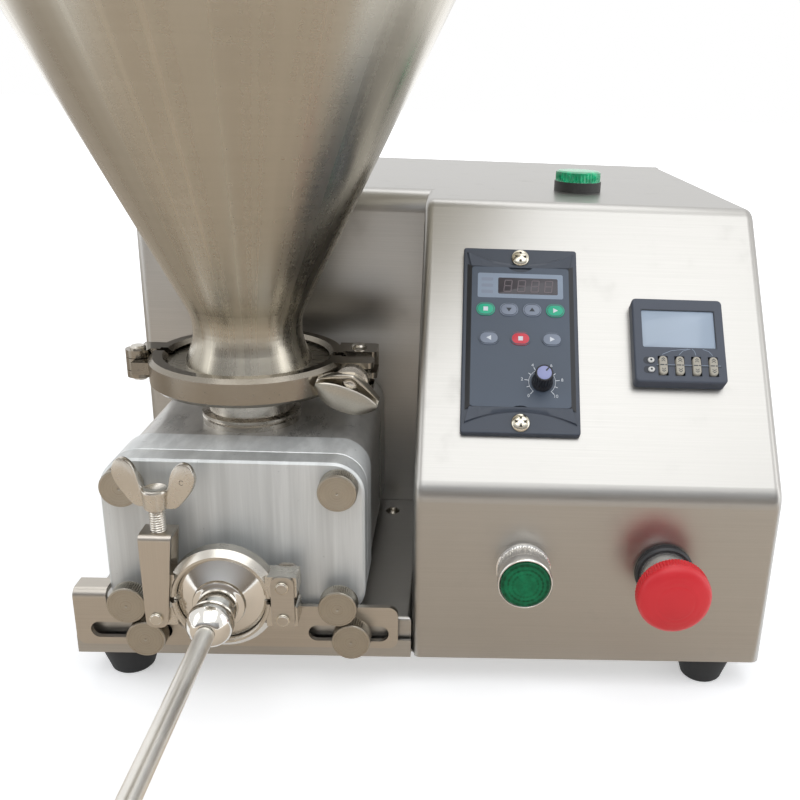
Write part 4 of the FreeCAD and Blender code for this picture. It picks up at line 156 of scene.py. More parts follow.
class Graph:
    """A node tree that is written as expressions."""

    def __init__(self, tree: bpy.types.NodeTree) -> None:
        """Empties the tree. Args: tree: the material's or the world's nodes."""
        self.tree = tree
        tree.nodes.clear()

    def node(self, kind: str, settings: Mapping[str, object] | None = None,
             inputs: Mapping[str | int, object] | None = None, output: str | int = 0) -> Socket:
        """Adds a node.

        Args:
            kind: The node's type.
            settings: Its properties, set first.
            inputs: Values or sockets by input name or number.
            output: The output that is returned, by name or number.

        Returns:
            The chosen output.
        """
        node = self.tree.nodes.new(kind)
        for key, value in (settings or {}).items():
            setattr(node, key, value)
        for key, value in (inputs or {}).items():
            if isinstance(value, Socket):
                self.tree.links.new(value.link, node.inputs[key])
            else:
                node.inputs[key].default_value = value
        return Socket(self, node.outputs[output]) if node.outputs else Socket(self, None)

    def place(self) -> Socket:
        """Returns the object's own coordinates, in metres."""
        return self.node("ShaderNodeTexCoord", output="Object")

    def split(self, vector: Socket) -> tuple[Socket, Socket, Socket]:
        """Splits a vector.

        Args:
            vector: The vector.

        Returns:
            Its x, y and z.
        """
        first = self.node("ShaderNodeSeparateXYZ", inputs={0: vector})
        outputs = first.link.node.outputs
        return tuple(Socket(self, outputs[index]) for index in range(3))

    def polar(self, where: Socket) -> tuple[Socket, Socket, Socket]:
        """Splits a place about z. Args: where: the place. Returns: its reach, angle and height."""
        x, y, z = self.split(where)
        return (x * x + y * y).math("SQRT"), y.math("ARCTAN2", x), z

    def merge(self, x: Socket | float, y: Socket | float, z: Socket | float) -> Socket:
        """Joins three numbers into a vector. Args: x, y, z: the numbers. Returns: the vector."""
        return self.node("ShaderNodeCombineXYZ", inputs={0: x, 1: y, 2: z})

    def noise(self, where: Socket, scale: float, detail: float = 3.0, rough: float = 0.55,
              stretch: Place = (1, 1, 1)) -> Socket:
        """Adds noise.

        Args:
            where: Coordinates in metres.
            scale: Features per metre.
            detail: Octaves.
            rough: Weight of the finer octaves.
            stretch: Factors on the three axes before the noise.

        Returns:
            A value about 0.5.
        """
        moved = self.node("ShaderNodeVectorMath", {"operation": "MULTIPLY"}, {0: where, 1: stretch})
        inputs = {"Vector": moved, "Scale": scale, "Detail": detail, "Roughness": rough}
        return self.node("ShaderNodeTexNoise", {}, inputs)

    def blend(self, factor: Socket | float, first: Socket | Colour, second: Socket | Colour) -> Socket:
        """Mixes two colours.

        Args:
            factor: The share of the second.
            first: A linear colour or socket.
            second: A linear colour or socket.

        Returns:
            The mixed colour.
        """
        node = self.tree.nodes.new("ShaderNodeMix")
        node.data_type = "RGBA"
        sockets = (node.inputs[0], node.inputs[6], node.inputs[7])
        for socket, value in zip(sockets, (factor, first, second)):
            if isinstance(value, Socket):
                self.tree.links.new(value.link, socket)
            else:
                socket.default_value = (*value, 1.0) if isinstance(value, tuple) else value
        return Socket(self, node.outputs[2])

    def layered(self, colour: Colour, ground: tuple[Socket, float, float],
                *films: tuple[Socket | float, float]) -> Socket:
        """Lays tones of one colour over each other.

        Args:
            colour: The linear colour.
            ground: A mask with the brightness of the colour where it is 0 and where it is 1.
            films: Masks, each with the brightness of the colour that it lays on top.

        Returns:
            The mixed colour.
        """
        mask, low, high = ground
        shade = self.blend(mask, scaled(colour, low), scaled(colour, high))
        for mask, share in films:
            shade = self.blend(mask, shade, scaled(colour, share))
        return shade

    def bump(self, height: Socket, depth: float, strength: float = 1.0) -> Socket:
        """Adds relief.

        Args:
            height: The height, 0 to 1.
            depth: What a height of 1 stands for, in metres.
            strength: How much of it shows.

        Returns:
            The bent normal.
        """
        return self.node("ShaderNodeBump", {}, {"Height": height, "Distance": depth, "Strength": strength})


def tone(code: str) -> Colour:
    """Turns a display colour into a linear one. Args: code: six hex digits. Returns: the linear colour."""
    parts = [int(code[index:index + 2], 16) / 255 for index in (0, 2, 4)]
    return tuple(v / 12.92 if v <= 0.04045 else ((v + 0.055) / 1.055) ** 2.4 for v in parts)


def scaled(colour: Colour, factor: float) -> Colour:
    """Makes a colour darker or lighter. Args: colour: linear. factor: the factor. Returns: the colour."""
    return tuple(min(1.0, channel * factor) for channel in colour)


# Finishes


def new_material(name: str) -> tuple[bpy.types.Material, Graph]:
    """Makes an empty material.

    Args:
        name: Its name.

    Returns:
        The material and its nodes.
    """
    made = bpy.data.materials.new(name)
    made.use_nodes = True
    return made, Graph(made.node_tree)


@dataclass(frozen=True)
class Finish:
    """What a surface is made of; the subclasses say how it varies."""

    name: str
    colour: str
    roughness: float = 0.4
    metallic: float = 0.0
    fixed: tuple[tuple[str, object], ...] = ()

    def vary(self, graph: Graph) -> dict[str, object]:
        """Gives the inputs that change over the surface.

        Args:
            graph: The material's nodes.

        Returns:
            The shader's inputs by name.
        """
        where = graph.place()
        grain = graph.noise(where, 900.0, 4.0)
        cloud = graph.noise(where, 22.0, 2.0)
        return {
            "Base Color": graph.layered(tone(self.colour), (cloud.band(0.3, 0.7), 0.93, 1.05)),
            "Roughness": self.roughness + (cloud - 0.5) * 0.12 + (grain - 0.5) * 0.08,
            "Normal": graph.bump(grain, 0.00006, 0.25),
        }

    def material(self) -> bpy.types.Material:
        """Returns the material, made the first time."""
        name = f"look_{self.name}"
        found = bpy.data.materials.get(name)
        if found:
            return found
        made, graph = new_material(name)
        inputs = {"Metallic": self.metallic, **dict(self.fixed), **self.vary(graph)}
        shader = graph.node("ShaderNodeBsdfPrincipled", {}, inputs)
        graph.node("ShaderNodeOutputMaterial", {}, {"Surface": shader})
        return made


@dataclass(frozen=True)
class Brushed(Finish):
    """Sheet metal brushed along x, and along y on its sides; a strap can be brushed along z."""

    metallic: float = 1.0
    along: int = 0
    fine: float = 3600.0
    coarse: float = 14.0

    def vary(self, graph: Graph) -> dict[str, object]:
        """See Finish."""
        where = graph.place()
        spans = [tuple(self.coarse if axis == along else self.fine for axis in range(3))
                 for along in range(3)]
        hair = graph.noise(where, 1.0, 5.0, 0.7, spans[self.along])
        normal = graph.node("ShaderNodeNewGeometry", output="Normal")
        sideways = graph.split(normal)[0].math("ABSOLUTE").band(0.6, 0.8)
        other = graph.noise(where, 1.0, 5.0, 0.7, spans[1 if self.along == 0 else 2])
        hair = hair + (other - hair) * sideways
        cloud = graph.noise(where, 9.0, 3.0)
        stains = graph.noise(where, 55.0, 5.0, 0.65).band(0.56, 0.8)
        shade = graph.layered(tone(self.colour), (hair.band(0.32, 0.68), 0.93, 1.05),
                              (cloud.band(0.3, 0.7) * 0.5, 1.07), (stains * 0.12, 0.74))
        rough = self.roughness + (hair - 0.5) * 0.14 + (cloud - 0.5) * 0.12 + stains * 0.08
        return {"Base Color": shade, "Roughness": rough, "Normal": graph.bump(hair, 0.000018, 0.35)}


@dataclass(frozen=True)
class Spun(Finish):
    """Metal spun about the hopper's upright axis: fine rings, with faint upright streaks and glints painted
    as highlights.
    """

    metallic: float = 1.0
    x: float = PORT_X
    y: float = PORT_Y

    def vary(self, graph: Graph) -> dict[str, object]:
        """See Finish."""
        centre = (Vector((self.x, self.y, 0)) + ORIGIN) * MM
        inputs = {0: graph.place(), 1: tuple(centre)}
        where = graph.node("ShaderNodeVectorMath", {"operation": "SUBTRACT"}, inputs)
        reach, turn, z = graph.polar(where)
        rings = graph.noise(graph.merge(reach * 60.0, z * 380.0, turn * 0.2), 1.0, 2.0, 0.5)
        broad = graph.noise(graph.merge(reach * 8.0, z * 14.0, turn * 0.9), 1.0, 2.0)
        # The upright streaks and the glints below are painted highlights: lamp reflections laid into the
        # colour as lighter bands.
        streaks = graph.noise(graph.merge(z * 1.2, turn * 9.0, 0.0), 1.0, 2.0)
        marks = graph.noise(where, 60.0, 5.0, 0.65).band(0.58, 0.8)
        glints = graph.noise(graph.merge(z * 0.5, turn * 11.0, 3.0), 1.0, 1.0).band(0.6, 0.68)
        # Lays the painted highlights of the glints and the upright streaks over the rings.
        shade = graph.layered(tone(self.colour), (rings.band(0.3, 0.7), 0.98, 1.02), (glints * 0.3, 1.3),
                              (streaks.band(0.35, 0.65) * 0.45, 1.12), (broad.band(0.4, 0.7) * 0.3, 0.86),
                              (marks * 0.1, 0.75))
        rough = (self.roughness + (streaks - 0.5) * 0.12 + (rings - 0.5) * 0.04
                 - glints * 0.03 + marks * 0.03)
        return {"Base Color": shade, "Roughness": rough, "Normal": graph.bump(rings, 0.000006, 0.3)}


@dataclass(frozen=True)
class Polished(Finish):
    """Bright polished metal with faint wipe marks and fine scratches."""

    metallic: float = 1.0
    scratches: float = 0.12

    def vary(self, graph: Graph) -> dict[str, object]:
        """See Finish."""
        where = graph.place()
        scratch = graph.noise(where, 1.0, 4.0, 0.7, (160.0, 700.0, 240.0))
        cloud = graph.noise(where, 45.0, 3.0)
        wiped = (cloud - 0.45).math("MAXIMUM", 0.0)
        shade = graph.layered(tone(self.colour), (cloud.band(0.3, 0.7), 0.93, 1.04))
        rough = self.roughness + wiped * 0.25 + (scratch - 0.5) * self.scratches
        return {"Base Color": shade, "Roughness": rough, "Normal": graph.bump(scratch, 0.00002, 0.2)}


@dataclass(frozen=True)
class Cast(Finish):
    """Bead-blasted cast steel: a fine even grain with small pits, with a painted highlight on its edges and
    painted light on its upward faces.
    """

    metallic: float = 1.0
    grain: float = 1700.0

    def vary(self, graph: Graph) -> dict[str, object]:
        """See Finish."""
        where = graph.place()
        grit = graph.noise(where, self.grain, 4.0, 0.6)
        pits = graph.noise(where, self.grain * 0.33, 3.0, 0.5).band(0.62, 0.76)
        cloud = graph.noise(where, 40.0, 3.0)
        # The edge mask paints a highlight on convex edges, and the level mask paints light on faces that look
        # up.
        edge = graph.node("ShaderNodeNewGeometry", output="Pointiness").band(0.5, 0.6)
        level = graph.split(graph.node("ShaderNodeNewGeometry", output="Normal"))[2].band(0.8, 0.96)
        # The last two films lay the painted edge highlight and the painted top light over the colour.
        shade = graph.layered(tone(self.colour), (grit.band(0.3, 0.7), 0.86, 1.1),
                              (cloud.band(0.35, 0.65) * 0.4, 1.12), (pits * 0.5, 0.55), (edge * 0.5, 1.5),
                              (level * 0.4, 1.35))
        rough = self.roughness + (grit - 0.5) * 0.2 - edge * 0.12 + pits * 0.1 - level * 0.16
        relief = (grit - pits * 0.8) * (1.0 - level * 0.8)
        return {"Base Color": shade, "Roughness": rough, "Normal": graph.bump(relief, 0.00009, 0.4)}


@dataclass(frozen=True)
class Turned(Finish):
    """A face turned on a lathe about the piece's own z axis."""

    metallic: float = 1.0

    def vary(self, graph: Graph) -> dict[str, object]:
        """See Finish."""
        where = graph.place()
        reach, _, z = graph.polar(where)
        rings = graph.noise(graph.merge(reach * 4200.0, z * 900.0, 0.0), 1.0, 3.0, 0.7)
        cloud = graph.noise(where, 130.0, 3.0)
        marks = graph.noise(where, 420.0, 4.0, 0.6).band(0.62, 0.8)
        shade = graph.layered(tone(self.colour), (rings.band(0.3, 0.7), 0.88, 1.08),
                              (cloud.band(0.3, 0.7) * 0.4, 1.1), (marks * 0.3, 0.62))
        rough = self.roughness + (rings - 0.5) * 0.2 + marks * 0.12
        return {"Base Color": shade, "Roughness": rough, "Normal": graph.bump(rings, 0.00003, 0.35)}


@dataclass(frozen=True)
class Milled(Finish):
    """Matt aluminium plate with soft upright streaks, specks and handling marks."""

    metallic: float = 0.5

    def vary(self, graph: Graph) -> dict[str, object]:
        """See Finish."""
        where = graph.place()
        streak = graph.noise(where, 1.0, 4.0, 0.6, (110.0, 40.0, 5.0))
        fine = graph.noise(where, 1.0, 4.0, 0.7, (1500.0, 1500.0, 40.0))
        speck = graph.noise(where, 420.0, 2.0, 0.5).band(0.7, 0.8)
        cloud = graph.noise(where, 26.0, 3.0)
        shade = graph.layered(tone(self.colour), (streak.band(0.32, 0.68), 0.84, 1.12),
                              (fine.band(0.3, 0.7) * 0.3, 0.9), (speck * 0.5, 0.35))
        rough = self.roughness + (streak - 0.5) * 0.16 + (cloud - 0.5) * 0.14 + (fine - 0.5) * 0.1
        return {"Base Color": shade, "Roughness": rough, "Normal": graph.bump(fine, 0.00004, 0.3)}


@dataclass(frozen=True)
class Faceted(Finish):
    """A coloured lens moulded with small prisms behind its face, and brighter blotches painted as a glow of
    light inside it.
    """

    pitch: float = 0.0021
    dark: float = 0.35
    spokes: int = 24

    def vary(self, graph: Graph) -> dict[str, object]:
        """See Finish."""
        where = graph.place()
        reach, turn, _ = graph.polar(where)
        rings = (reach * (math.tau / self.pitch)).math("SINE")
        spokes = (turn * float(self.spokes)).math("SINE")
        cells = (rings * 0.7 + spokes * 0.3) * reach.band(0.004, 0.009)
        rim = reach.band(0.0085, 0.012)
        # Brighter blotches of this noise are painted light: a glow of light inside the lens.
        cloud = graph.noise(where, 190.0, 4.0, 0.6)
        shade = graph.layered(tone(self.colour), (cells.band(-0.6, 0.2), self.dark, 1.0),
                              (rim * 0.6, self.dark * 0.7), (cloud.band(0.42, 0.7) * 0.5, 1.7))
        return {"Base Color": shade, "Roughness": self.roughness + (cloud - 0.5) * 0.08,
                "Normal": graph.bump(cells, 0.00004, 0.12)}


LATHE_MARKS = (("Anisotropic", 0.6), ("Anisotropic Rotation", 0.25))


class Look(Enum):
    """The finishes of the machine's nodes and pieces, by the record's slots where they have one."""

    SHEET = Brushed("brushed_stainless", "b3b1ad", 0.33)
    STRIP = Brushed("satin_strip", "bcb6ad", 0.33)
    UPRIGHT = Brushed("satin_strap", "c0b9af", 0.32, along=2)
    SPUN = Spun("spun_stainless", "aea89b", 0.28, fixed=LATHE_MARKS)
    BRIGHT = Polished("polished_stainless", "e3e0da", 0.1)
    RING = Polished("worn_polish", "cdc8bf", 0.24, scratches=0.2)
    CAST = Cast("cast_stainless", "857f75", 0.33)
    TURNED = Turned("turned_stainless", "aaa499", 0.3, fixed=LATHE_MARKS)
    PLATE = Milled("milled_aluminium", "d8dad9", 0.46)
    RIM = Milled("pale_aluminium", "eef0ef", 0.4, metallic=0.3)
    BLOCK = Milled("bright_aluminium", "d3d1cd", 0.3)
    TUBE = Polished("drawn_tube", "efece5", 0.3, metallic=0.85)
    GEAR = Polished("gear_steel", "b5b1aa", 0.25)
    RUBBER = Finish("black_rubber", "1f1f1f", 0.72)
    SEAL = Finish("seal_rubber", "d8d5cc", 0.55)
    CASE = Finish("dark_case", "3d4450", 0.42)
    TIMER = Finish("timer_case", "484e5a", 0.5)
    FILM = Finish("overlay_film", "475261", 0.4)
    KNOB = Finish("grey_knob", "1f2026", 0.45)
    CAP = Finish("knob_cap", "9ba0cb", 0.42)
    KEY = Finish("key_plastic", "b3ad9f", 0.48)
    BLACK = Finish("black_plastic", "232427", 0.4)
    LAMP_FOOT = Finish("lamp_foot", "3c3c3b", 0.5)
    CHROME = Polished("chrome_ring", "e4e1dc", 0.2, metallic=0.85)
    GREEN = Faceted("green_lens", "0a6a43", 0.24, 0.0, (("Specular IOR Level", 0.22),), 0.0023, 0.5)
    LAMP = Faceted("lamp_green", "10c486", 0.2, 0.0, (("Coat Weight", 0.3),), 0.0035, 0.75)
    RED = Finish("red_plastic", "d9222c", 0.4, fixed=(("Coat Weight", 0.1), ("Coat Roughness", 0.25)))
    PAINT = Finish("motor_paint", "5a6066", 0.5)
    WHITE_INK = Finish("white_ink", "dfe3e8", 0.5)
    DARK_INK = Finish("dark_ink", "2c313a", 0.5)
    FRAME_INK = Finish("frame_ink", "8d9aab", 0.45)
    KEY_GREEN = Finish("key_green", "27b48c", 0.4)
    KEY_GREY = Finish("key_grey", "8790a0", 0.42)
    KEY_RED = Finish("key_red", "d8414f", 0.4)
    WINDOW = Finish("display_window", "39343b", 0.3, fixed=(("Coat Weight", 0.15),))
    SEGMENT = Finish("display_segment", "6b6065", 0.4)
    GLASS = Finish("timer_glass", "a5b4c5", 0.16, fixed=(("Coat Weight", 0.3),))
    SCREW = Polished("screw_nickel", "d6d0c0", 0.2)
    WHITE_CAP = Finish("white_cap", "d9d8d4", 0.4)
    DARK_STEEL = Finish("recess_steel", "3b3833", 0.5, metallic=0.5)
    BEAD = Cast("blasted_nut", "b9b3a8", 0.36, grain=2300.0)


NODE_LOOKS: dict[Look, str] = {
    Look.SHEET: "base_tray bay_deck housing_shell rear_panel",
    Look.STRIP: "retaining_bracket outlet_clamp_links motor_bracket",
    Look.UPRIGHT: "outlet_clamp_yoke",
    Look.SPUN: "hopper",
    Look.BRIGHT: "outlet_reducer nozzle_nut",
    Look.TUBE: "nozzle_tube",
    Look.BEAD: "housing_screws",
    Look.RING: "inlet_neck outlet_clamp_upper outlet_clamp_lower outlet_clamp_yoke_pin "
               "outlet_clamp_wing_screw hopper_clamp_hinge_pin hopper_clamp_bolt hopper_clamp_bolt_pin",
    Look.CAST: "hopper_clamp_back hopper_clamp_front hopper_clamp_nut",
    Look.TURNED: "cover_screw_1 cover_screw_2 cover_screw_3 cover_screw_4 "
                 "bracket_screw_left bracket_screw_right",
    Look.PLATE: "pump_cover",
    Look.RIM: "chamber_plate",
    Look.BLOCK: "pump_body",
    Look.GEAR: "drive_gear idler_gear shaft_coupling",
    Look.RUBBER: "rubber_feet",
    Look.SEAL: "inlet_gasket outlet_gasket",
    Look.CASE: "controller_case",
    Look.TIMER: "timer_case",
    Look.FILM: "controller_overlay",
    Look.KNOB: "speed_knob",
    Look.KEY: "timer_rocker_1 timer_rocker_2 timer_rocker_3 timer_rocker_4 timer_button_1 timer_button_2",
    Look.BLACK: "power_inlet stop_base",
    Look.LAMP_FOOT: "lamp_base",
    Look.CHROME: "start_bezel stop_collar",
    Look.SCREW: "controller_screws",
    Look.GREEN: "start_lens",
    Look.LAMP: "lamp_lens",
    Look.RED: "stop_head",
    Look.PAINT: "gear_motor",
}


# Geometry


@dataclass(frozen=True)
class Spot:
    """A place on the machine: an origin in millimetres, with z along out and x along across."""

    origin: Place
    out: Place = (0.0, -1.0, 0.0)
    across: Place = (1.0, 0.0, 0.0)

    def matrix(self) -> Matrix:
        """Returns the place as a matrix in the frame, in metres."""
        z = Vector(self.out).normalized()
        x = Vector(self.across).normalized()
        turn = Matrix((x, z.cross(x), z)).transposed().to_4x4()
        return Matrix.Translation((Vector(self.origin) + ORIGIN) * MM) @ turn

    def moved(self, x: float, y: float, z: float = 0.0) -> "Spot":
        """Gives the same turn at another point.

        Args:
            x: Millimetres across.
            y: Millimetres along the third axis.
            z: Millimetres outwards.

        Returns:
            The new spot.
        """
        out = Vector(self.out)
        side = Vector(self.across)
        origin = Vector(self.origin) + side * x + out.cross(side) * y + out * z
        return Spot(tuple(origin), self.out, self.across)


def on_slope(across: float, up: float, out: float = 0.0) -> Spot:
    """Finds a point of the console's slope.

    Args:
        across: Millimetres from the console's left face.
        up: Millimetres up the slope from the knee.
        out: Millimetres in front of the sheet.

    Returns:
        The spot, facing out of the slope.
    """
    base = Vector((across, 0, KNEE_HEIGHT)) + Vector(SLOPE_RISE) * up + Vector(SLOPE_OUT) * out
    return Spot(tuple(base), SLOPE_OUT)


def add_object(name: str, data: bpy.types.ID) -> bpy.types.Object:
    """Puts an object in the scene.

    Args:
        name: Its name.
        data: What it shows.

    Returns:
        The object.
    """
    made = bpy.data.objects.new(name, data)
    bpy.context.scene.collection.objects.link(made)
    return made


class Form:
    """A mesh in the making, in its own millimetres."""

    def __init__(self) -> None:
        """Starts empty."""
        self.mesh = bmesh.new()

    def lathe(self, profile: Sequence[Point], segments: int = 96, ripple: Ripple | None = None) -> "Form":
        """Turns a profile about z.

        Args:
            profile: (radius, height) points.
            segments: Steps round the axis.
            ripple: Gives the change of radius from angle, radius and height.

        Returns:
            The form itself.
        """
        rows = []
        for radius, height in profile:
            if radius < 1e-6:
                rows.append([self.mesh.verts.new((0, 0, height))])
                continue
            row = []
            for step in range(segments):
                angle = math.tau * step / segments
                reach = radius + (ripple(angle, radius, height) if ripple else 0.0)
                row.append(self.mesh.verts.new((reach * math.cos(angle), reach * math.sin(angle), height)))
            rows.append(row)
        for low, high in zip(rows, rows[1:]):
            for step in range(segments):
                after = (step + 1) % segments
                if len(low) == 1 and len(high) > 1:
                    self.mesh.faces.new((low[0], high[after], high[step]))
                elif len(high) == 1 and len(low) > 1:
                    self.mesh.faces.new((low[step], low[after], high[0]))
                elif len(low) > 1:
                    self.mesh.faces.new((low[step], low[after], high[after], high[step]))
        return self

    def prism(self, outline: Sequence[Point], low: float, high: float, inset: float = 0.0,
              both: bool = False) -> "Form":
        """Raises an outline into a plate.

        Args:
            outline: Points in turning order.
            low: Where it starts.
            high: Where it ends.
            inset: How far the top's edge is eased.
            both: Whether the lower edge is eased too.

        Returns:
            The form itself.
        """
        count = len(outline)
        points = [Vector(point) for point in outline]
        area = sum(a.x * b.y - b.x * a.y for a, b in zip(points, points[1:] + points[:1]))
        turn = 1.0 if area > 0 else -1.0
        inward = []
        for step in range(count):
            along = (points[(step + 1) % count] - points[step - 1]).normalized()
            inward.append(Vector((-along.y, along.x)) * turn)
        levels = [(low, 0.0), (high, 0.0)]
        if inset > 0:
            eased = [(0.0, inset), (inset * 0.3, inset * 0.3), (inset, 0.0)]
            foot = [(low + rise, pull) for rise, pull in eased] if both else levels[:1]
            levels = foot + [(high - rise, pull) for rise, pull in reversed(eased)]
        rows = [[(*(point + side * pull), height) for point, side in zip(points, inward)]
                for height, pull in levels]
        return self.grid(rows, closed=True, capped=True)

    def grid(self, rows: Sequence[Sequence[Place]], closed: bool = False, capped: bool = False) -> "Form":
        """Spans rows of points with faces.

        Args:
            rows: The rows, all of one length.
            closed: Whether each row runs back to its start.
            capped: Whether the first and the last row are filled.

        Returns:
            The form itself.
        """
        made = [[self.mesh.verts.new(point) for point in row] for row in rows]
        count = len(made[0])
        for low, high in zip(made, made[1:]):
            for step in range(count if closed else count - 1):
                after = (step + 1) % count
                self.mesh.faces.new((low[step], low[after], high[after], high[step]))
        if capped:
            self.mesh.faces.new(made[-1])
            self.mesh.faces.new(made[0][::-1])
        return self

    def strokes(self, lines: Iterable[Sequence[Point]], width: float, low: float, high: float) -> "Form":
        """Prints lines as thin raised bands.

        Args:
            lines: Polylines.
            width: Their width.
            low: Where the ink starts.
            high: Where it ends.

        Returns:
            The form itself.
        """
        for line in lines:
            for start, end in zip(line, line[1:]):
                a, b = Vector(start), Vector(end)
                along = (b - a).normalized() * width / 2
                side = Vector((-along.y, along.x))
                box = [a - along - side, b + along - side, b + along + side, a - along + side]
                self.prism([tuple(p) for p in box], low, high)
        return self

    def domed_cross(self, radius: float, height: float, arm: float, width: float, depth: float,
                    steps: int = 44) -> "Form":
        """Makes a domed screw head with a cross recess.

        Args:
            radius: Of the head.
            height: Of the dome over its rim.
            arm: Half the recess's length.
            width: Half the recess's width.
            depth: Of the recess.
            steps: Cells across.

        Returns:
            The form itself.
        """
        rows = []
        for j in range(steps + 1):
            row = []
            for i in range(steps + 1):
                u, v = 2 * i / steps - 1, 2 * j / steps - 1
                x = radius * u * math.sqrt(1 - v * v / 2)
                y = radius * v * math.sqrt(1 - u * u / 2)
                reach = math.hypot(x, y) / radius
                z = height * math.sqrt(max(0.0, 1 - reach ** 2.4))
                if min(abs(x), abs(y)) < width and max(abs(x), abs(y)) < arm:
                    z -= depth * (1 - 0.5 * max(abs(x), abs(y)) / arm)
                row.append((x, y, z))
            rows.append(row)
        return self.grid(rows)

    def turned(self, matrix: Matrix) -> "Form":
        """Moves what has been made so far. Args: matrix: the move. Returns: the form itself."""
        self.mesh.transform(matrix)
        return self

    def absorb(self, other: "Form") -> "Form":
        """Adds another form's faces.

        Args:
            other: The form, which is used up.

        Returns:
            The form itself.
        """
        temporary = bpy.data.meshes.new("temporary")
        other.mesh.to_mesh(temporary)
        other.mesh.free()
        self.mesh.from_mesh(temporary)
        bpy.data.meshes.remove(temporary)
        return self

    def build(self, name: str, spot: Spot, look: Look, body: str = "machine",
              replaces: Sequence[str] = (), slot: str = "") -> bpy.types.Object:
        """Turns the form into a piece of the machine.

        Args:
            name: The piece's name.
            spot: Where it goes.
            look: Its finish.
            body: The body that carries it.
            replaces: The nodes that it stands for.
            slot: The record's slot of its finish; not used.

        Returns:
            The object.
        """
        self.mesh.transform(Matrix.Scale(MM, 4))
        bmesh.ops.recalc_face_normals(self.mesh, faces=self.mesh.faces)
        for face in self.mesh.faces:
            face.smooth = True
        for edge in self.mesh.edges:
            edge.smooth = len(edge.link_faces) == 2 and edge.calc_face_angle(0.0) < SHARP
        data = bpy.data.meshes.new(name)
        self.mesh.to_mesh(data)
        self.mesh.free()
        piece = add_object(name, data)
        piece.matrix_world = spot.matrix()
        data.materials.append(look.value.material())
        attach(piece, body)
        if replaces:
            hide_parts(*replaces)
        LOG.info("piece %s on %s", name, body)
        return piece


def pill(length: float, width: float, x: float = 0.0, y: float = 0.0, steps: int = 12) -> list[Point]:
    """Outlines a bar with round ends.

    Args:
        length: End to end, along x.
        width: Across.
        x: Its centre.
        y: Its centre.
        steps: Points per end.

    Returns:
        The outline.
    """
    half, radius = (length - width) / 2, width / 2
    points = []
    for side, start in ((1, -math.pi / 2), (-1, math.pi / 2)):
        for step in range(steps + 1):
            angle = start + math.pi * step / steps
            points.append((x + side * half + radius * math.cos(angle), y + radius * math.sin(angle)))
    return points


def rounded(width: float, height: float, radius: float, x: float = 0.0, y: float = 0.0) -> list[Point]:
    """Outlines a rectangle with round corners.

    Args:
        width: Across.
        height: Up.
        radius: Of the corners.
        x: Its centre.
        y: Its centre.

    Returns:
        The outline.
    """
    points = []
    for quarter, (sx, sy) in enumerate(((1, -1), (1, 1), (-1, 1), (-1, -1))):
        for step in range(5):
            angle = math.pi / 2 * (quarter - 1 + step / 4)
            points.append((x + sx * (width / 2 - radius) + radius * math.cos(angle),
                           y + sy * (height / 2 - radius) + radius * math.sin(angle)))
    return points


def knurl(count: int, depth: float, low: float, high: float, least: float) -> Ripple:
    """Cuts straight grooves into a rim.

    Args:
        count: Grooves round the axis.
        depth: Of each.
        low: Where they start along the axis.
        high: Where they end.
        least: The radius below which nothing is cut.

    Returns:
        The change of radius.
    """
    def change(angle: float, radius: float, height: float) -> float:
        """Gives the cut at a point. Args: angle, radius, height: the point. Returns: the change."""
        inside = low <= height <= high and radius >= least
        return -depth * (0.5 - 0.5 * math.cos(angle * count)) if inside else 0.0
    return change


def thread(pitch: float, depth: float, low: float, high: float) -> Ripple:
    """Cuts a screw thread.

    Args:
        pitch: From crest to crest.
        depth: Of the groove.
        low: Where it starts along the axis.
        high: Where it ends.

    Returns:
        The change of radius.
    """
    def change(angle: float, radius: float, height: float) -> float:
        """Gives the cut at a point. Args: angle, radius, height: the point. Returns: the change."""
        turn = (height / pitch - angle / math.tau) % 1.0
        return -depth * (1 - abs(2 * turn - 1)) if low < height < high else 0.0
    return change


def smooth_loop(points: Sequence[Point], steps: int = 6) -> list[Point]:
    """Runs a closed curve through points.

    Args:
        points: The points.
        steps: Pieces between two points.

    Returns:
        The curve.
    """
    knots = [Vector(point) for point in points]
    count = len(knots)
    curve = []
    for index in range(count):
        a, b, c, d = (knots[(index + step - 1) % count] for step in range(4))
        for step in range(steps):
            t = step / steps
            bend = (2 * a - 5 * b + 4 * c - d) * t * t
            twist = (3 * b - a - 3 * c + d) * t ** 3
            spot = 0.5 * (2 * b + (c - a) * t + bend + twist)
            curve.append((spot.x, spot.y))
    return curve


def flat_rows(low: float, high: float, radius: float, rows: int) -> list[Point]:
    """Divides a side. Args: low, high: its ends. radius: its place. rows: parts. Returns: the points."""
    return [(radius, low + (high - low) * step / rows) for step in range(rows + 1)]


# Sub-assemblies


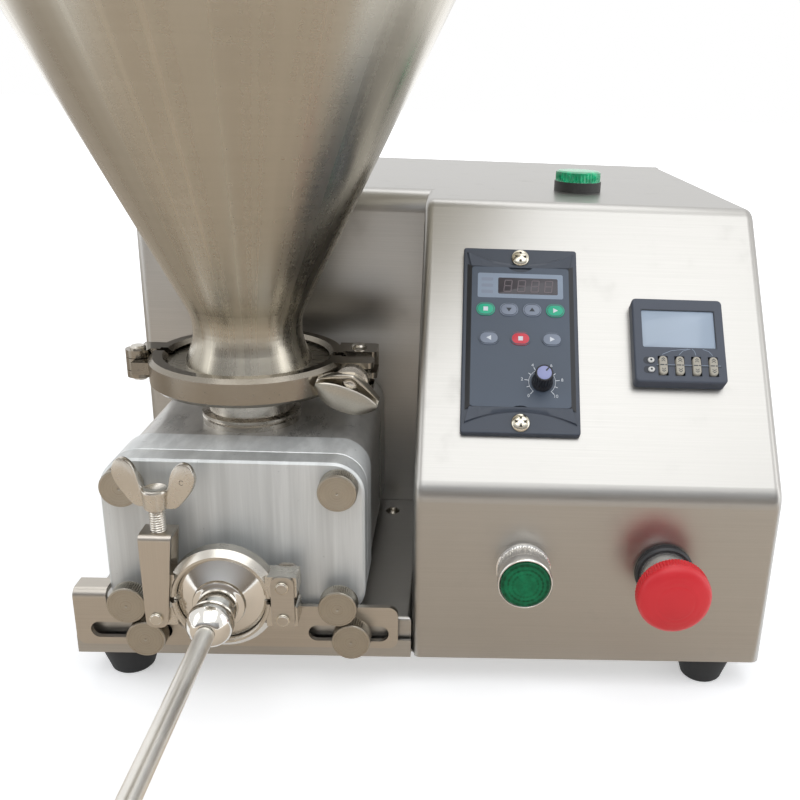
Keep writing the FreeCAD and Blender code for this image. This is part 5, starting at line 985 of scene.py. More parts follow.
@dataclass
class Thumbscrews:
    """The six knurled thumbscrews of the pump's cover and of the retaining bracket."""

    radius: float = 9.7
    thickness: float = 8.5
    edge: float = 0.7
    shank: float = 3.0
    teeth: int = 52
    tooth: float = 0.55
    cover_x: Point = (-140.5, -36.5)
    cover_z: Point = (113.2, 52.5)
    cover_seats: Point = (3.0, -3.0)
    bracket_x: Point = (-132.6, -30.0)
    bracket_z: float = 33.6
    bracket_seat: float = -3.0

    def build(self) -> None:
        """Makes the screws over their nodes."""
        places = {}
        for row, (z, seat) in enumerate(zip(self.cover_z, self.cover_seats)):
            for column, x in enumerate(self.cover_x, 1):
                places[f"cover_screw_{2 * row + column}"] = (x, seat, z)
        for side, x in zip(("left", "right"), self.bracket_x):
            places[f"bracket_screw_{side}"] = (x, self.bracket_seat, self.bracket_z)
        for node, place in places.items():
            tip = (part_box(node)[1].y - ORIGIN.y * MM) / MM
            screw = self._screw(tip - place[1])
            screw.build(f"{node}_head", Spot(place), Look.TURNED, node, [node], "turned_stainless")

    def _screw(self, length: float) -> Form:
        """Turns one screw.

        Args:
            length: Of its shank.

        Returns:
            The form, with the head's underside at 0.
        """
        r, t, e = self.radius, self.thickness, self.edge
        shank = [(0, -length), (self.shank, -length), (self.shank, 0), (r - e, 0)]
        rim = flat_rows(e, t - e, r, 6)
        face = [(r - 0.25, t - 0.2), (r - e - 0.1, t), (r - 1.4, t - 0.06), (r * 0.5, t - 0.1),
                (0.8, t - 0.1), (0.5, t - 0.35), (0, t - 0.5)]
        grooves = knurl(self.teeth, self.tooth, e + 0.4, t - e - 0.4, r - 0.01)
        return Form().lathe([*shank, *rim, *face], self.teeth * 4, grooves)


@dataclass
class Clamps:
    """The threads, screw heads, wing screw and wing nut of the two clamps."""

    pitch: float = 1.25
    groove: float = 0.5
    rows_per_turn: int = 6
    thread_segments: int = 36
    segments: int = 72
    ring_y: float = -11.1
    link_x: float = 30.2
    link_face: float = 7.7
    link_rise: float = 8.9
    yoke_x: float = 31.2
    yoke_face: float = 7.65
    yoke_drop: float = 9.4
    head_radius: float = 3.2
    head_rim: float = 0.95
    stud_x: float = 29.0
    stud_radius: float = 3.9
    stud_low: float = 13.75
    hub_low: float = 46.5
    ear: float = 1.5
    ear_turn: float = -10.0
    mark_centre: Point = (14.2, 15.0)
    mark_reach: Point = (1.0, 1.2)
    bolt_place: Place = (57.5, PORT_Y, 153.8)
    bolt_ends: Point = (-6.5, 33.5)
    bolt_radius: float = 3.95
    nut_seat: float = 16.6
    nut_length: float = 16.6
    nut_front: float = 20.9
    nut_turn: float = -20.0
    nut_columns: int = 24
    valley: float = 5.5

    def build(self) -> None:
        """Makes the pieces."""
        link_y, yoke_y = self.ring_y - self.link_face, self.ring_y - self.yoke_face
        self._head("link_screw_upper", (PORT_X + self.link_x, link_y, PORT_Z + self.link_rise))
        self._head("link_screw_lower", (PORT_X + self.link_x, link_y, PORT_Z - self.link_rise))
        self._head("yoke_screw_head", (PORT_X - self.yoke_x, yoke_y, PORT_Z - self.yoke_drop))
        self._wing_screw(Spot((PORT_X - self.stud_x, self.ring_y, PORT_Z), (0, 0, 1)))
        x, y, z = self.bolt_place
        self._swing_bolt(Spot((PORT_X + x, y, z)))

    def _head(self, name: str, seat: Place) -> None:
        """Makes a domed head with a cross recess.

        Args:
            name: The piece's name.
            seat: Where the head rests.
        """
        radius, rim = self.head_radius, self.head_rim
        head = Form().domed_cross(radius, 0.62, radius * 0.6, radius * 0.15, 0.75)
        head.turned(Matrix.Translation((0, 0, rim)))
        head.absorb(Form().lathe([(radius, 0), (radius, rim)], 88))
        head.build(name, Spot(seat), Look.SCREW, slot="turned_stainless")

    def _wing_screw(self, spot: Spot) -> None:
        """Makes the threaded stud with its saddle and ears.

        Args:
            spot: The joint's centre, with z up the stud.
        """
        low, r, base = self.stud_low, self.stud_radius, self.hub_low
        side = flat_rows(low + 0.8, base + 0.4, r, int((base - low) / self.pitch * self.rows_per_turn))
        cut = thread(self.pitch, self.groove, low + 0.8, base)
        stud = Form().lathe([(0, low), (r - 1.4, low), *side], self.thread_segments, cut)
        saddle = [(4.9, 0), (5.7, 0.5), (6.0, 2), (6.1, 6), (6.5, 8.6), (6.55, 9.6), (6.2, 10.3), (5.4, 10.5),
                  (4.2, 10.1), (2.2, 9.5), (0, 9.3)]
        raised = [(radius, base + rise) for radius, rise in saddle]
        stud.absorb(Form().lathe([(r, base), *raised], self.segments))
        ear = smooth_loop([(2.6, 9.0), (6.2, 10.6), (7.6, 14.0), (8.8, 18.6), (11.2, 22.6), (15.2, 24.8),
                           (19.0, 22.8), (20.8, 17.6), (19.4, 12.2), (15.6, 6.6), (11.0, 1.6), (7.0, 0.6),
                           (2.6, 1.4)], 5)
        upright = Matrix.Rotation(math.radians(90), 4, "X")
        lift = Matrix.Translation((0, 0, base))
        turns = {turn: lift @ Matrix.Rotation(math.radians(turn + self.ear_turn), 4, "Z")
                 for turn in (0, 180)}
        for turn in turns.values():
            stud.absorb(Form().prism(ear, -self.ear, self.ear, 0.7, both=True).turned(upright).turned(turn))
        stud.build("outlet_wing_screw", spot, Look.RING, "wing_screw", ["outlet_clamp_wing_screw"],
                   "polished_stainless")
        (x, y), (wide, tall) = self.mark_centre, self.mark_reach
        angles = [step / 10 * math.tau for step in range(1, 10)]
        arc = [(x + wide * math.cos(angle), y + tall * math.sin(angle)) for angle in angles]
        for name, turn in turns.items():
            mark = Form().strokes([arc], 0.22, self.ear - 0.05, self.ear + 0.02).turned(upright).turned(turn)
            mark.build(f"wing_mark_{name}", spot, Look.DARK_STEEL, "wing_screw", slot="polished_stainless")

    def _swing_bolt(self, spot: Spot) -> None:
        """Makes the swing bolt's thread and the boat-shaped wing nut.

        Args:
            spot: The bolt's axis at the ring's centre.
        """
        (low, high), r = self.bolt_ends, self.bolt_radius
        side = flat_rows(low, high - 0.9, r, int((high - low) / self.pitch * self.rows_per_turn))
        profile = [*side, (r - 0.5, high - 0.35), (r - 1.3, high), (0, high + 0.02)]
        cut = thread(self.pitch, self.groove, low, high - 0.9)
        bolt = Form().lathe(profile, self.thread_segments, cut)
        bolt.build("swing_bolt_thread", spot, Look.RING, "swing_bolt", slot="polished_stainless")
        shares = [step / self.nut_columns for step in range(-self.nut_columns, self.nut_columns + 1)]
        columns = [[(self.nut_length * share, *point) for point in self._nut_loop(share)] for share in shares]
        nut = Form().grid(columns, closed=True)
        for column in (columns[0][::-1], columns[-1]):
            nut.mesh.faces.new([nut.mesh.verts.new(point) for point in column])
        nut.turned(Matrix.Rotation(math.radians(self.nut_turn), 4, "Z"))
        hub = [(4.0, 0), (6.2, 0), (7.6, 1.6), (7.9, 2.4), (7.9, 8.5), (8.8, 10.5), (4.0, 12.0)]
        nut.absorb(Form().lathe(hub, self.segments)).turned(Matrix.Translation((0, 0, self.nut_seat)))
        nut.build("hopper_wing_nut", spot, Look.BEAD, "wing_nut", ["hopper_clamp_nut"], "cast_stainless")
        # A dark ring round the bolt where it leaves the nut is painted shade in the bore.
        ring = Form().lathe([(4.0, 29.6), (4.6, 30.6), (5.0, 29.0)], 48)
        ring.build("wing_nut_bore_shade", spot, Look.DARK_STEEL, "wing_nut", slot="cast_stainless")

    def _nut_loop(self, share: float) -> list[Point]:
        """Gives the wing nut's section: a scoop over a ridge, with a hanging lip.

        Args:
            share: The section's place across the nut, -1 to 1.

        Returns:
            The section's outline.
        """
        reach = abs(share)
        full = 1.1 - reach ** 4
        top = 6.2 - 7.5 * reach ** 1.3
        ridge = -0.8 - 2.6 * reach ** 2.2
        low = -15.2 + 7.4 * reach ** 2.6
        crest = self.nut_front - 0.4 * reach ** 2
        rear = 8.5 + 4.6 * share * share
        loop = [(top * 0.9 + 0.1, rear), (top + 0.15, rear + 2.0), (top, 17.2), (top - 0.35 * full, 18.1),
                (top - 1.0 * full, 18.0)]
        start, end = top - 1.2 * full, ridge + 0.9 * full
        for step in range(9):
            t = step / 8
            dip = self.valley * max(0.0, 1 - share * share) ** 0.7 * math.sin(math.pi * t) ** 0.7
            loop.append((start + (end - start) * t, 17.9 + (crest - 18.4) * t - dip))
        loop += [(ridge + 0.4 * full, crest - 0.12), (ridge, crest), (ridge - 0.45 * full, crest - 0.15)]
        for step in range(1, 11):
            t = step / 10
            loop.append((ridge - 0.6 * full + (low - ridge + 0.6 * full) * t, crest - 0.3 - 5.4 * t ** 1.9))
        underside = [(low + 1.2, crest - 7.2), (0.45 * low, rear + 0.6), (-2.0, rear)]
        return [*loop, (low + 0.35, crest - 6.6), *underside]


@dataclass
class Outlet:
    """The reducer with its bead and the cap nut that holds the nozzle tube."""

    seat_y: float = -11.7
    bore: float = 3.5
    neck_end: float = 22.0
    tube_radius: float = 4.0
    segments: int = 128

    def build(self) -> None:
        """Makes the pieces over their nodes."""
        seat = Spot((PORT_X, self.seat_y, PORT_Z))
        ferrule = [(8.0, 0), (23.5, 0), (23.6, 0.1), (23.6, 1.9), (23.4, 2.1), (21.5, 2.75)]
        bead = [(12.9, 8.0), (12.7, 8.5), (12.75, 9.1), (12.4, 9.8), (11.7, 10.2), (10.6, 10.4), (9.9, 10.8)]
        neck = [(9.8, 11.4), (9.8, 21.3), (9.6, 21.8), (9.2, self.neck_end)]
        inside = [(self.bore, self.neck_end), (self.bore, 9.5), (8.0, 2.0), (8.0, 0)]
        cone = Form().lathe([*ferrule, *bead, *neck, *inside], self.segments)
        cone.build("outlet_cone", seat, Look.BRIGHT, replaces=["outlet_reducer"], slot="polished_stainless")
        side = [(9.8, 0), (10.6, 0.3), (10.9, 1.0), (10.9, 5.4), (10.75, 6.4), (10.2, 7.6), (9.2, 9.1),
                (7.6, 11.0), (6.4, 12.2), (5.6, 12.8), (4.9, 13.0)]
        bottom, top = (self.tube_radius, 0), (self.tube_radius, 13.0)
        nut = Form().lathe([bottom, *side, top, bottom], self.segments)
        nut.build("nozzle_cap_nut", seat.moved(0, 0, self.neck_end), Look.BRIGHT, replaces=["nozzle_nut"],
                  slot="polished_stainless")


@dataclass
class Controller:
    """The speed controller's prints, display, keys and dial."""

    x: float = 52.6
    s: float = 83.0
    film: float = 5.0
    key: float = 5.5
    key_width: float = 6.5
    ink: float = 0.05
    screw_reach: float = 47.2
    screw_radius: float = 4.9
    display: Point = (4.0, 29.9)
    digit_pitch: float = 7.2
    indicators: Point = (-17.6, 33.6)
    indicator_pitch: float = 3.7
    dial: Point = (11.0, -25.0)
    dial_radius: float = 6.9
    number_radius: float = 10.4
    first_angle: float = 228.0
    sweep: float = 276.0
    figure_size: float = 2.4
    glyphs: dict[str, list[Point]] = field(default_factory=lambda: {
        "down": [(-1.5, 0.9), (0, -1.3), (1.5, 0.9)], "up": [(-1.5, -0.9), (1.5, -0.9), (0, 1.3)],
        "left": [(1.1, -1.4), (1.1, 1.4), (-1.4, 0)], "right": [(-1.1, 1.4), (-1.1, -1.4), (1.4, 0)],
        "square": [(-1.2, -1.2), (1.2, -1.2), (1.2, 1.2), (-1.2, 1.2)]})

    def build(self) -> None:
        """Makes the pieces on the overlay."""
        base = on_slope(self.x, self.s)
        self._display(base)
        self._keys(base)
        self._dial(base)
        for side, end in ((-1, "lower"), (1, "upper")):
            self._shoulder(side).build(f"controller_shoulder_{end}", base, Look.CASE, slot="dark_case")
            self._screw(base.moved(0, side * self.screw_reach, 4.0), end)
        # The flanks are coloured black to paint the shadow line along the panel's left and right edges.
        for side, end in ((-1, "left"), (1, "right")):
            self._flank(side).build(f"controller_flank_shadow_{end}", base, Look.BLACK, slot="dark_case")

    def _screw(self, seat: Spot, end: str) -> None:
        """Makes a domed screw head with its cross recess painted dark as shade.

        Args:
            seat: Where the head rests.
            end: The end's name.
        """
        radius = self.screw_radius
        head = Form().domed_cross(radius, 2.0, 2.9, 0.62, 1.7)
        head.absorb(Form().lathe([(radius, 0), (radius, -0.4), (radius - 0.6, -0.4)], 88))
        head.turned(Matrix.Translation((0, 0, 0.45)))
        head.build(f"controller_screw_head_{end}", seat, Look.SCREW, slot="turned_stainless")
        # A dark cross in the recess is painted shade.
        cross = Form().strokes([[(-2.3, 0), (2.3, 0)], [(0, -2.3), (0, 2.3)]], 0.95, 1.3, 2.12)
        cross.build(f"controller_screw_recess_shade_{end}", seat, Look.DARK_STEEL, slot="turned_stainless")

    @staticmethod
    def _flank(side: int) -> Form:
        """Makes the moulded slope beside the panel. Args: side: 1 right, -1 left. Returns: the form."""
        lines = [(25.7, -39.0, 41.0, 5.0), (26.3, -39.6, 41.6, 4.9), (28.3, -41.0, 43.0, 4.02)]
        return Form().grid([[(side * x, low, z), (side * x, high, z)] for x, low, high, z in lines])

    @staticmethod
    def _shoulder(side: int) -> Form:
        """Makes the moulded slope between the panel and one end.

        Args:
            side: 1 for the upper end, -1 for the lower.

        Returns:
            The form.
        """
        start = 41.0 if side > 0 else 39.0
        rows = [[], [], [], []]
        for step in range(33):
            t = 2 * step / 32 - 1
            lift = 0.9 * abs(t) ** 3
            far = start + 2.6 + 6.6 * t * t
            rows[0].append((25.7 * t, side * start, 4.95))
            rows[1].append((26.2 * t, side * (start + 0.5), 5.0 + lift * 0.6))
            rows[2].append((28.0 * t, side * (far - 0.8), 4.5 + lift))
            rows[3].append((28.6 * t, side * far, 4.0))
        return Form().grid(rows)

    def _display(self, base: Spot) -> None:
        """Makes the printed frame, the smoked window and its unlit digits.

        Args:
            base: The controller's centre.
        """
        film, ink = self.film, self.ink
        x, y = self.display
        frame = Form().prism(rounded(45.3, 14.6, 1.0, 0.0, 30.0), film, film + ink * 0.6)
        frame.build("display_frame", base, Look.FRAME_INK, slot="overlay_film")
        window = Form().prism(rounded(31.8, 9.8, 0.9, x, y), 4.25, film + ink, 0.1)
        window.build("display_pane", base, Look.WINDOW, slot="dark_case")
        digits = Form()
        for index in range(4):
            self._digit(digits, -6.6 + index * self.digit_pitch, y)
        digits.build("display_digits", base, Look.SEGMENT, slot="dark_case")
        marks = Form()
        left, top = self.indicators
        for row in range(3):
            outline = rounded(6.2, 1.9, 0.5, left, top - row * self.indicator_pitch)
            marks.prism(outline, film + ink * 0.6, film + ink * 1.4)
        marks.build("display_indicators", base, Look.KEY_GREY, slot="overlay_film")

    def _digit(self, form: Form, x: float, y: float) -> None:
        """Adds one unlit figure of seven bars.

        Args:
            form: Takes the bars.
            x: Its centre across.
            y: Its centre up.
        """
        half, rise, lean, gap = 1.9, 3.3, 0.36, 0.35
        flat = half * 0.86
        bars = [((-flat, level), (flat, level)) for level in (rise, 0, -rise)]
        for foot in (0, -rise):
            bars += [((side, foot + gap), (side, foot + rise - gap)) for side in (-half, half)]
        for bar in bars:
            line = [(x + across + lean * up / rise, y + up) for across, up in bar]
            form.strokes([line], 0.5, self.film + self.ink, self.film + self.ink * 1.8)

    def _keys(self, base: Spot) -> None:
        """Makes the membrane keys with their signs.

        Args:
            base: The controller's centre.
        """
        rows = [(-18.3, 15.7, 8.8, Look.KEY_GREEN, "square"), (-6.1, 15.7, 8.8, Look.KEY_GREY, "down"),
                (6.1, 15.7, 8.8, Look.KEY_GREY, "up"), (18.3, 15.7, 8.8, Look.KEY_GREEN, "right"),
                (-16.4, -1.0, 9.6, Look.KEY_GREY, "left"), (0.0, -1.0, 9.6, Look.KEY_RED, "square"),
                (16.4, -1.0, 9.6, Look.KEY_GREY, "right")]
        top = self.key + 0.1
        for number, (x, y, length, look, glyph) in enumerate(rows, 1):
            key = Form()
            for grow, low, high in ((0.45, self.film, self.key), (-0.3, self.key, top)):
                key.prism(pill(length + 2 * grow, self.key_width + 2 * grow, x, y), low, high, 0.08)
            key.build(f"membrane_key_{number}", base, look, slot="overlay_film")
            sign = Form().prism([(x + a, y + b) for a, b in self.glyphs[glyph]], top, top + 0.04)
            ink = Look.DARK_INK if glyph in ("up", "down") else Look.WHITE_INK
            sign.build(f"key_sign_{number}", base, ink, slot="overlay_film")

    def _around(self, share: float, radius: float) -> Point:
        """Finds a point of the dial's scale.

        Args:
            share: The share of the scale, 0 to 1.
            radius: From the dial's centre.

        Returns:
            The point on the overlay.
        """
        angle = math.radians(self.first_angle - self.sweep * share)
        return self.dial[0] + radius * math.cos(angle), self.dial[1] + radius * math.sin(angle)

    def _dial(self, base: Spot) -> None:
        """Makes the dial's scale and the fluted knob.

        Args:
            base: The controller's centre.
        """
        low, high = self.film, self.film + self.ink
        arc = [self._around(step / 50, self.dial_radius) for step in range(51)]
        ticks = [[self._around(step / 10, radius) for radius in (self.dial_radius, 8.3 if step % 2 else 8.9)]
                 for step in range(11)]
        scale = Form().strokes([arc], 0.24, low, high).strokes(ticks, 0.34, low, high)
        scale.build("dial_scale", base, Look.WHITE_INK, slot="overlay_film")
        for step in range(6):
            self._number(str(step * 2), base.moved(*self._around(step / 5, self.number_radius), high))
        seat = base.moved(*self.dial, 5.3)
        skirt = [(0, 0), (5.5, 0), (5.5, 1.2), (5.3, 1.7), (5.0, 2.6), (4.95, 3.2)]
        side = [(4.9, 5), (4.8, 8), (4.65, 11.2), (4.5, 11.7), (4.15, 12.0), (3.8, 12.0), (3.7, 11.75),
                (0, 11.75)]
        grip = Form().lathe([*skirt, *side], 144, knurl(18, 0.42, 3.2, 11.4, 4.2))
        grip.build("speed_dial_grip", seat, Look.KNOB, "speed_knob", ["speed_knob"], "grey_knob")
        cap = Form().lathe([(3.65, 11.7), (3.65, 11.95), (3.45, 12.05), (0, 12.1)], 72)
        cap.build("speed_dial_cap", seat, Look.CAP, "speed_knob", slot="grey_knob")
        angle = math.radians(50)
        line = [(r * math.cos(angle), r * math.sin(angle)) for r in (1.7, 3.2)]
        mark = Form().strokes([line], 0.8, 11.9, 12.16)
        mark.build("speed_dial_pointer", seat, Look.BLACK, "speed_knob", slot="grey_knob")

    def _number(self, text: str, spot: Spot) -> None:
        """Prints a plain number.

        Args:
            text: Its figures.
            spot: Its centre.
        """
        data = bpy.data.curves.new(f"dial_number_{text}", "FONT")
        data.body = text
        data.size = self.figure_size * MM
        data.extrude = 0.02 * MM
        data.align_x = "CENTER"
        data.align_y = "CENTER"
        data.materials.append(Look.WHITE_INK.value.material())
        piece = add_object(f"dial_number_{text}", data)
        piece.matrix_world = spot.matrix()
        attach(piece, "machine")


@dataclass
class Timer:
    """The timer's glass, its leader lines and the marks on its keys."""

    x: float = 135.1
    s: float = 82.7
    face: float = 7.6
    print_height: float = 0.05
    key_first: float = -9.3
    key_pitch: float = 8.7
    key_y: float = -14.8
    line_starts: tuple[float, ...] = (4.2, 5.4, 6.4, 12.0)
    button_x: float = -16.4
    button_y: Point = (-12.0, -17.2)

    def build(self) -> None:
        """Makes the pieces."""
        base = on_slope(self.x, self.s)
        glass = Form().prism(rounded(38.3, 21.3, 0.9, 0, 6.4), self.face - 1.0, self.face - 0.55, 0.15)
        glass.build("timer_glass", base, Look.GLASS, slot="dark_case")
        centres = [self.key_first + self.key_pitch * index for index in range(4)]
        leaders = [[(start, -5.0), (x + (start - x) * 0.35, -6.2), (x, -8.4)]
                   for x, start in zip(centres, self.line_starts)]
        thin = self.print_height * 0.6
        # The groove's dark line is painted shade, and the light line above it is a painted highlight on its
        # edge.
        groove = [[(-12.4, -14.9), (20.6, -14.9)]]
        edge = [[(-12.4, -14.2), (20.6, -14.2)]]
        # The dark lines along the top and right of the glass paint the shadow in the window's recess.
        frame = [[(-19.4, 17.3), (19.4, 17.3)], [(19.4, 17.3), (19.4, -4.5)]]
        self._print("timer_leaders", base, leaders, 0.26, self.print_height, Look.FRAME_INK)
        self._print("timer_groove", base, groove, 0.9, thin, Look.DARK_INK)
        self._print("timer_groove_highlight", base, edge, 0.3, self.print_height, Look.FRAME_INK)
        self._print("timer_window_shadow", base, frame, 0.5, thin, Look.DARK_INK)
        for number, y in enumerate(self.button_y, 1):
            self._button(base.moved(self.button_x, y, self.face), f"timer_button_{number}")
        for number, x in enumerate(centres, 1):
            self._rocker(base.moved(x, self.key_y, self.face), f"timer_rocker_{number}")

    def _print(self, name: str, base: Spot, lines: Sequence[Sequence[Point]], width: float, height: float,
               look: Look) -> None:
        """Lays thin lines on the timer's face: print, painted shade and painted highlights.

        Args:
            name: The piece's name.
            base: The timer's centre.
            lines: Polylines.
            width: Their width.
            height: The ink's thickness.
            look: The ink.
        """
        Form().strokes(lines, width, self.face, self.face + height).build(name, base, look, slot="dark_case")

    @staticmethod
    def _button(seat: Spot, node: str) -> None:
        """Makes one small button in its well, which is painted dark as shade.

        Args:
            seat: Its centre on the timer's face.
            node: The button's node.
        """
        # The dark pill round the cap is painted shade in the button's well.
        Form().prism(pill(6.2, 4.0), 0, 0.06).build(f"{node}_well", seat, Look.DARK_INK, slot="dark_case")
        cap = Form().prism(pill(3.4, 2.7, 0.9), -2.5, 1.1, 0.35)
        cap.build(f"{node}_cap", seat, Look.WHITE_CAP, node, [node], "key_plastic")
        dot = Form().lathe([(0, 1.14), (0.6, 1.14), (0.6, 1.08)], 20)
        dot.build(f"{node}_dot", seat.moved(0.9, 0), Look.BLACK, node, slot="key_plastic")

    @staticmethod
    def _rocker(spot: Spot, node: str) -> None:
        """Makes one rocker key with a step mark at each end.

        Args:
            spot: Its centre on the timer's face.
            node: The rocker's node.
        """
        half_width, half_length = 2.3, 5.2
        outline = rounded(4.3, 10.2, 1.95)
        rows = []
        for height, pull in ((-2.5, 0.0), (0.7, 0.0), (1.15, 0.22), (1.3, 0.55)):
            dish = 0.1 if height > 0 else 0.0
            rows.append([(x * (1 - pull / half_width), y * (1 - pull / half_length),
                          height + dish * (abs(y) / half_length) ** 2) for x, y in outline])
        key = Form().grid(rows, closed=True, capped=True)
        key.build(f"{node}_key", spot, Look.KEY, node, [node], "key_plastic")
        marks = Form()
        for side in (-1, 1):
            for reach in (2.0, 3.1):
                arrow = [(-0.9, side * reach), (0.0, side * (reach + 0.7)), (0.9, side * reach)]
                marks.strokes([arrow], 0.3, 1.36, 1.44)
        marks.strokes([[(-1.5, 0), (1.5, 0)]], 0.6, 1.28, 1.38)
        marks.build(f"{node}_marks", spot, Look.DARK_INK, node, slot="key_plastic")


@dataclass
class Buttons:
    """The start button, the stop button and the signal lamp."""

    start: Point = (56.2, 72.2)
    stop: Point = (127.9, 71.7)
    lamp: Place = (92.5, 176.5, 241.0)
    bore: float = 5.15
    lens: float = 12.2
    lens_front: float = 18.55
    lens_rings: int = 26

    def build(self) -> None:
        """Makes the pieces."""
        start = Spot((self.start[0], 0.0, self.start[1]))
        bezel, lens, head = self._bezel(), self._lens(), self._head()
        bezel.build("start_button_bezel", start, Look.CHROME, replaces=["start_bezel"], slot="chrome_ring")
        lens.build("start_button_lens", start, Look.GREEN, "start_button", ["start_lens"], "green_lens")
        stop = Spot((self.stop[0], 0.0, self.stop[1]))
        head.build("stop_button_head", stop, Look.RED, "stop_button", ["stop_head"], "red_plastic")
        top = [(13.6, 11.6), (12.6, 12.2), (11.5, 12.4), (0, 12.4)]
        profile = [(0, 6.0), (13.9, 6.0), *flat_rows(6.5, 11.0, 13.9, 3), *top]
        dome = Form().lathe(profile, 160, knurl(40, 0.5, 6.4, 11.2, 13.0))
        upward = Spot(self.lamp, (0, 0, 1))
        dome.build("lamp_dome", upward, Look.LAMP, replaces=["lamp_lens"], slot="green_lens")

    def _bezel(self) -> Form:
        """Makes the start button's knurled bezel with its sleeve behind the panel.

        Returns:
            The form.
        """
        sleeve = [(self.bore, -42), (10.7, -42), (10.7, 0), (14.0, 0), (14.0, 1.8), (13.9, 2.0), (13.2, 2.4)]
        rim = [(13.2, 10.1), (13.7, 10.9), (13.8, 11.4), (13.8, 16.0), (13.65, 16.6), (13.3, 16.95),
               (12.9, 17.0), (12.4, 16.6)]
        inside = [(12.35, 15.8), (12.35, 9.0), (self.bore, 8.0), (self.bore, -42)]
        profile = [*sleeve, *flat_rows(2.9, 9.7, 13.2, 6), *rim, *inside]
        return Form().lathe(profile, 216, knurl(60, 0.55, 2.9, 9.7, 12.9))

    def _lens(self) -> Form:
        """Makes the start button's ringed lens with its stem.

        Returns:
            The form.
        """
        count, radius, front = self.lens_rings, self.lens, self.lens_front
        waves = [0.07 * math.cos(step * math.tau / 4) for step in range(count)]
        rings = [(radius * step / count, front - 0.9 * (step / count) ** 3 + wave)
                 for step, wave in enumerate(waves)]
        stem = [(0, -21), (5.0, -21), (5.0, 12.5), (radius, 12.5), (radius, 17.2), (12.0, 17.55)]
        return Form().lathe([*stem, *reversed(rings)], 144)

    @staticmethod
    def _head() -> Form:
        """Makes the stop button's mushroom head with its finger grooves.

        Returns:
            The form.
        """
        stem = [(0, -21), (7.5, -21), (7.5, 19.9), (15.5, 19.6), (17.6, 19.8)]
        shoulder = [(18.25, 26.4), (17.8, 27.6), (16.9, 28.7), (15.4, 29.7), (12.6, 30.7)]
        crown = [(12.1, 30.75), (11.6, 30.95), (9.9, 31.33), (9.5, 31.3), (9.0, 31.38), (8.6, 31.57),
                 (8.0, 31.7), (4.0, 32.2), (0, 32.35)]
        profile = [*stem, *flat_rows(20.4, 25.0, 18.3, 4), *shoulder, *crown]
        return Form().lathe(profile, 288, knurl(72, 0.45, 20.0, 25.6, 17.7))


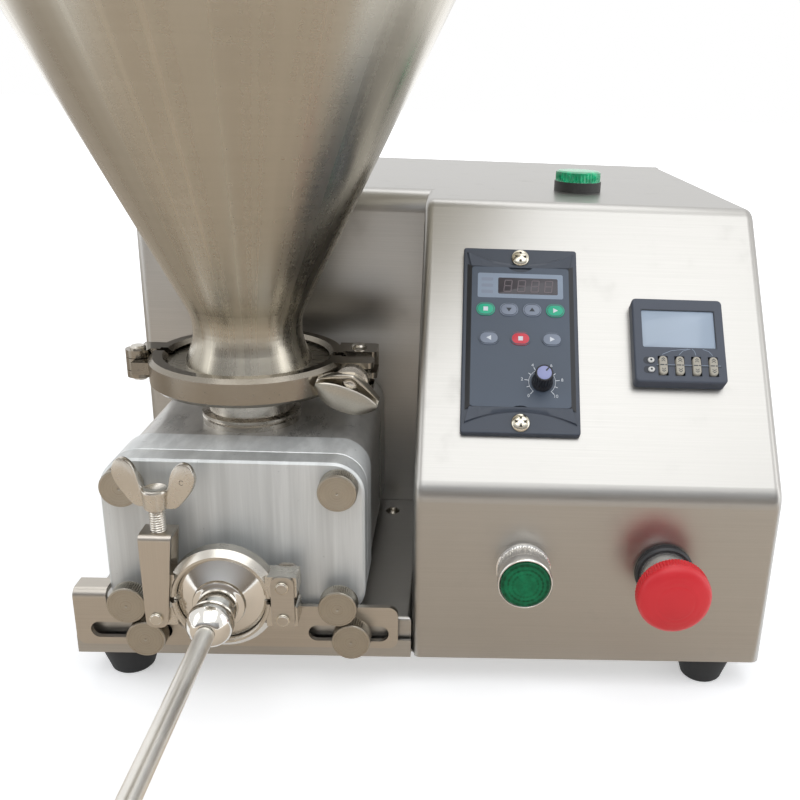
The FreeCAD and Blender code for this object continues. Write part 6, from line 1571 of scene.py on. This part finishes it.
@dataclass
class Studio:
    """The floor, the backdrop, the soft lights and the camera, in metres."""

    lens: float = 41.894
    shift: Point = (-0.1105, 0.0146)
    yaw: float = -2.26
    pitch: float = 19.58
    roll: float = 2.25
    eye: Place = (0.05034, -0.52266, 0.30410)
    room: Colour = (0.94, 0.96, 1.0)
    room_strength: float = 0.62
    lamp_colour: Colour = (0.96, 0.98, 1.0)
    floor_half: float = 9.0
    table: float = 0.0015

    def build(self) -> None:
        """Sets the stage."""
        scene = bpy.context.scene
        scene.view_settings.view_transform = "Standard"
        self._world()
        self._floor()
        z = self.table
        wall = [(-2.2, -1.3, 0.02), (2.2, -1.3, 0.02), (2.2, -1.3, 1.15), (-2.2, -1.3, 1.15)]
        table = [(-0.6, -0.75, z), (0.7, -0.75, z), (0.7, -0.12, z), (-0.6, -0.12, z)]
        side = [(-1.3, -0.12, z), (-0.23, -0.12, z), (-0.23, 1.4, z), (-1.3, 1.4, z)]
        self._card("studio_wall", wall, (0.3, 0.25, 0.2), (0.6, 0.61, 0.63))
        self._card("studio_table", table, (0.8, 0.69, 0.57), (0.8, 0.69, 0.57))
        self._card("studio_table_side", side, (0.6, 0.52, 0.43), (0.6, 0.52, 0.43))
        self._lamp("key_light", (0.15, -0.75, 1.5), (0.0, -0.05, 0.15), (1.7, 1.1), 8.4)
        self._lamp("top_light", (-0.1, 0.5, 1.6), (0.0, 0.0, 0.2), (1.4, 1.0), 5.5)
        self._lamp("left_light", (-1.5, -0.5, 0.8), (0.0, 0.0, 0.2), (0.5, 1.2), 1.8)
        self._lamp("right_light", (1.6, -0.35, 0.7), (0.0, 0.0, 0.2), (0.5, 1.2), 3.0)
        self._camera()

    def _world(self) -> None:
        """Makes the white backdrop and the even room light."""
        world = bpy.data.worlds.new("studio")
        bpy.context.scene.world = world
        world.use_nodes = True
        graph = Graph(world.node_tree)
        seen = self._seen(graph)
        inputs = {"Color": (*self.room, 1.0), "Strength": self.room_strength}
        room = graph.node("ShaderNodeBackground", {}, inputs)
        white = graph.node("ShaderNodeBackground", {}, {"Color": (1.0, 1.0, 1.0, 1.0), "Strength": 1.0})
        mixed = graph.node("ShaderNodeMixShader", {}, {0: seen, 1: room, 2: white})
        graph.node("ShaderNodeOutputWorld", {}, {"Surface": mixed})

    @staticmethod
    def _seen(graph: Graph) -> Socket:
        """Finds the rays that see the backdrop.

        Args:
            graph: The material's or the world's nodes.

        Returns:
            A value that is 1 for those rays.
        """
        path = graph.node("ShaderNodeLightPath", output="Is Camera Ray")
        outputs = path.link.node.outputs
        glossy = Socket(graph, outputs["Is Glossy Ray"])
        through = Socket(graph, outputs["Is Transmission Ray"])
        return (path + glossy).math("ADD", through, clamp=True)

    @staticmethod
    def _sheet(name: str, corners: Sequence[Place]) -> tuple[bpy.types.Object, Graph]:
        """Makes a flat sheet of the stage with an empty material.

        Args:
            name: Its name.
            corners: Its corners.

        Returns:
            The sheet and its material's nodes.
        """
        data = bpy.data.meshes.new(name)
        data.from_pydata(corners, [], [(0, 1, 2, 3)])
        sheet = add_object(name, data)
        material, graph = new_material(f"{name}_paint")
        data.materials.append(material)
        return sheet, graph

    def _floor(self) -> None:
        """Makes the pale floor, which keeps the object's shadow."""
        half = self.floor_half
        corners = [(-half, -half, 0), (half, -half, 0), (half, half, 0), (-half, half, 0)]
        _, graph = self._sheet("studio_floor", corners)
        paint = graph.node("ShaderNodeBsdfDiffuse", {}, {"Color": (0.9, 0.9, 0.9, 1.0)})
        far = graph.polar(graph.place())[0].band(0.6, 2.6)
        inputs = {"Color": (1.0, 1.0, 1.0, 1.0), "Strength": self._seen(graph) * (far * 0.7 + 0.4)}
        lift = graph.node("ShaderNodeEmission", {}, inputs)
        both = graph.node("ShaderNodeAddShader", {}, {0: paint, 1: lift})
        graph.node("ShaderNodeOutputMaterial", {}, {"Surface": both})

    def _card(self, name: str, corners: Sequence[Place], low: Colour, high: Colour) -> None:
        """Makes a card of the room that only the reflections show.

        Args:
            name: Its name.
            corners: Its corners.
            low: Its colour at the floor.
            high: Its colour a metre up.
        """
        card, graph = self._sheet(name, corners)
        height = graph.split(graph.place())[2].band(0.0, 1.0)
        paint = graph.node("ShaderNodeBsdfDiffuse", {}, {"Color": graph.blend(height, low, high)})
        graph.node("ShaderNodeOutputMaterial", {}, {"Surface": paint})
        card.visible_camera = False
        card.visible_shadow = False
        card.visible_diffuse = False

    def _lamp(self, name: str, where: Place, target: Place, size: Point, power: float) -> None:
        """Hangs a soft light.

        Args:
            name: Its name.
            where: Its place.
            target: What it faces.
            size: Its width and height.
            power: In watts.
        """
        data = bpy.data.lights.new(name, "AREA")
        data.shape = "RECTANGLE"
        data.size, data.size_y = size
        data.energy = power
        data.color = self.lamp_colour
        lamp = add_object(name, data)
        lamp.location = where
        lamp.rotation_euler = (Vector(target) - Vector(where)).to_track_quat("-Z", "Y").to_euler()

    def _camera(self) -> None:
        """Puts the camera where the photograph was taken."""
        yaw, pitch, roll = (math.radians(v) for v in (self.yaw, self.pitch, self.roll))
        ahead = Vector((-math.sin(yaw) * math.cos(pitch), math.cos(yaw) * math.cos(pitch), -math.sin(pitch)))
        right = Vector((math.cos(yaw), math.sin(yaw), 0))
        up = right.cross(ahead)
        side = math.cos(roll) * right + math.sin(roll) * up
        top = -math.sin(roll) * right + math.cos(roll) * up
        data = bpy.data.cameras.new("photo_camera")
        data.lens = self.lens
        data.sensor_width = 36.0
        data.shift_x, data.shift_y = self.shift
        data.clip_start = 0.01
        camera = add_object("photo_camera", data)
        turn = Matrix((side, top, -ahead)).transposed().to_4x4()
        camera.matrix_world = Matrix.Translation(self.eye) @ turn
        bpy.context.scene.camera = camera


def dress_nodes(nodes: Mapping[str, bpy.types.Object]) -> None:
    """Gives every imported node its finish.

    Args:
        nodes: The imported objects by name.
    """
    for look, names in NODE_LOOKS.items():
        for name in names.split():
            node = nodes[name]
            if not node.material_slots:
                node.data.materials.append(None)
            for slot in node.material_slots:
                slot.material = look.value.material()
            LOG.info("node %s: %s", name, look.value.name)


def main() -> None:
    """Dresses the machine, builds its pieces and sets the stage."""
    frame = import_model()
    dress_nodes(frame["nodes"])
    for part in (Thumbscrews(), Clamps(), Outlet(), Controller(), Timer(), Buttons(), Studio()):
        LOG.info("building %s", type(part).__name__)
        part.build()


if __name__ == "__main__":
    logging.basicConfig(level=logging.INFO)
    main()
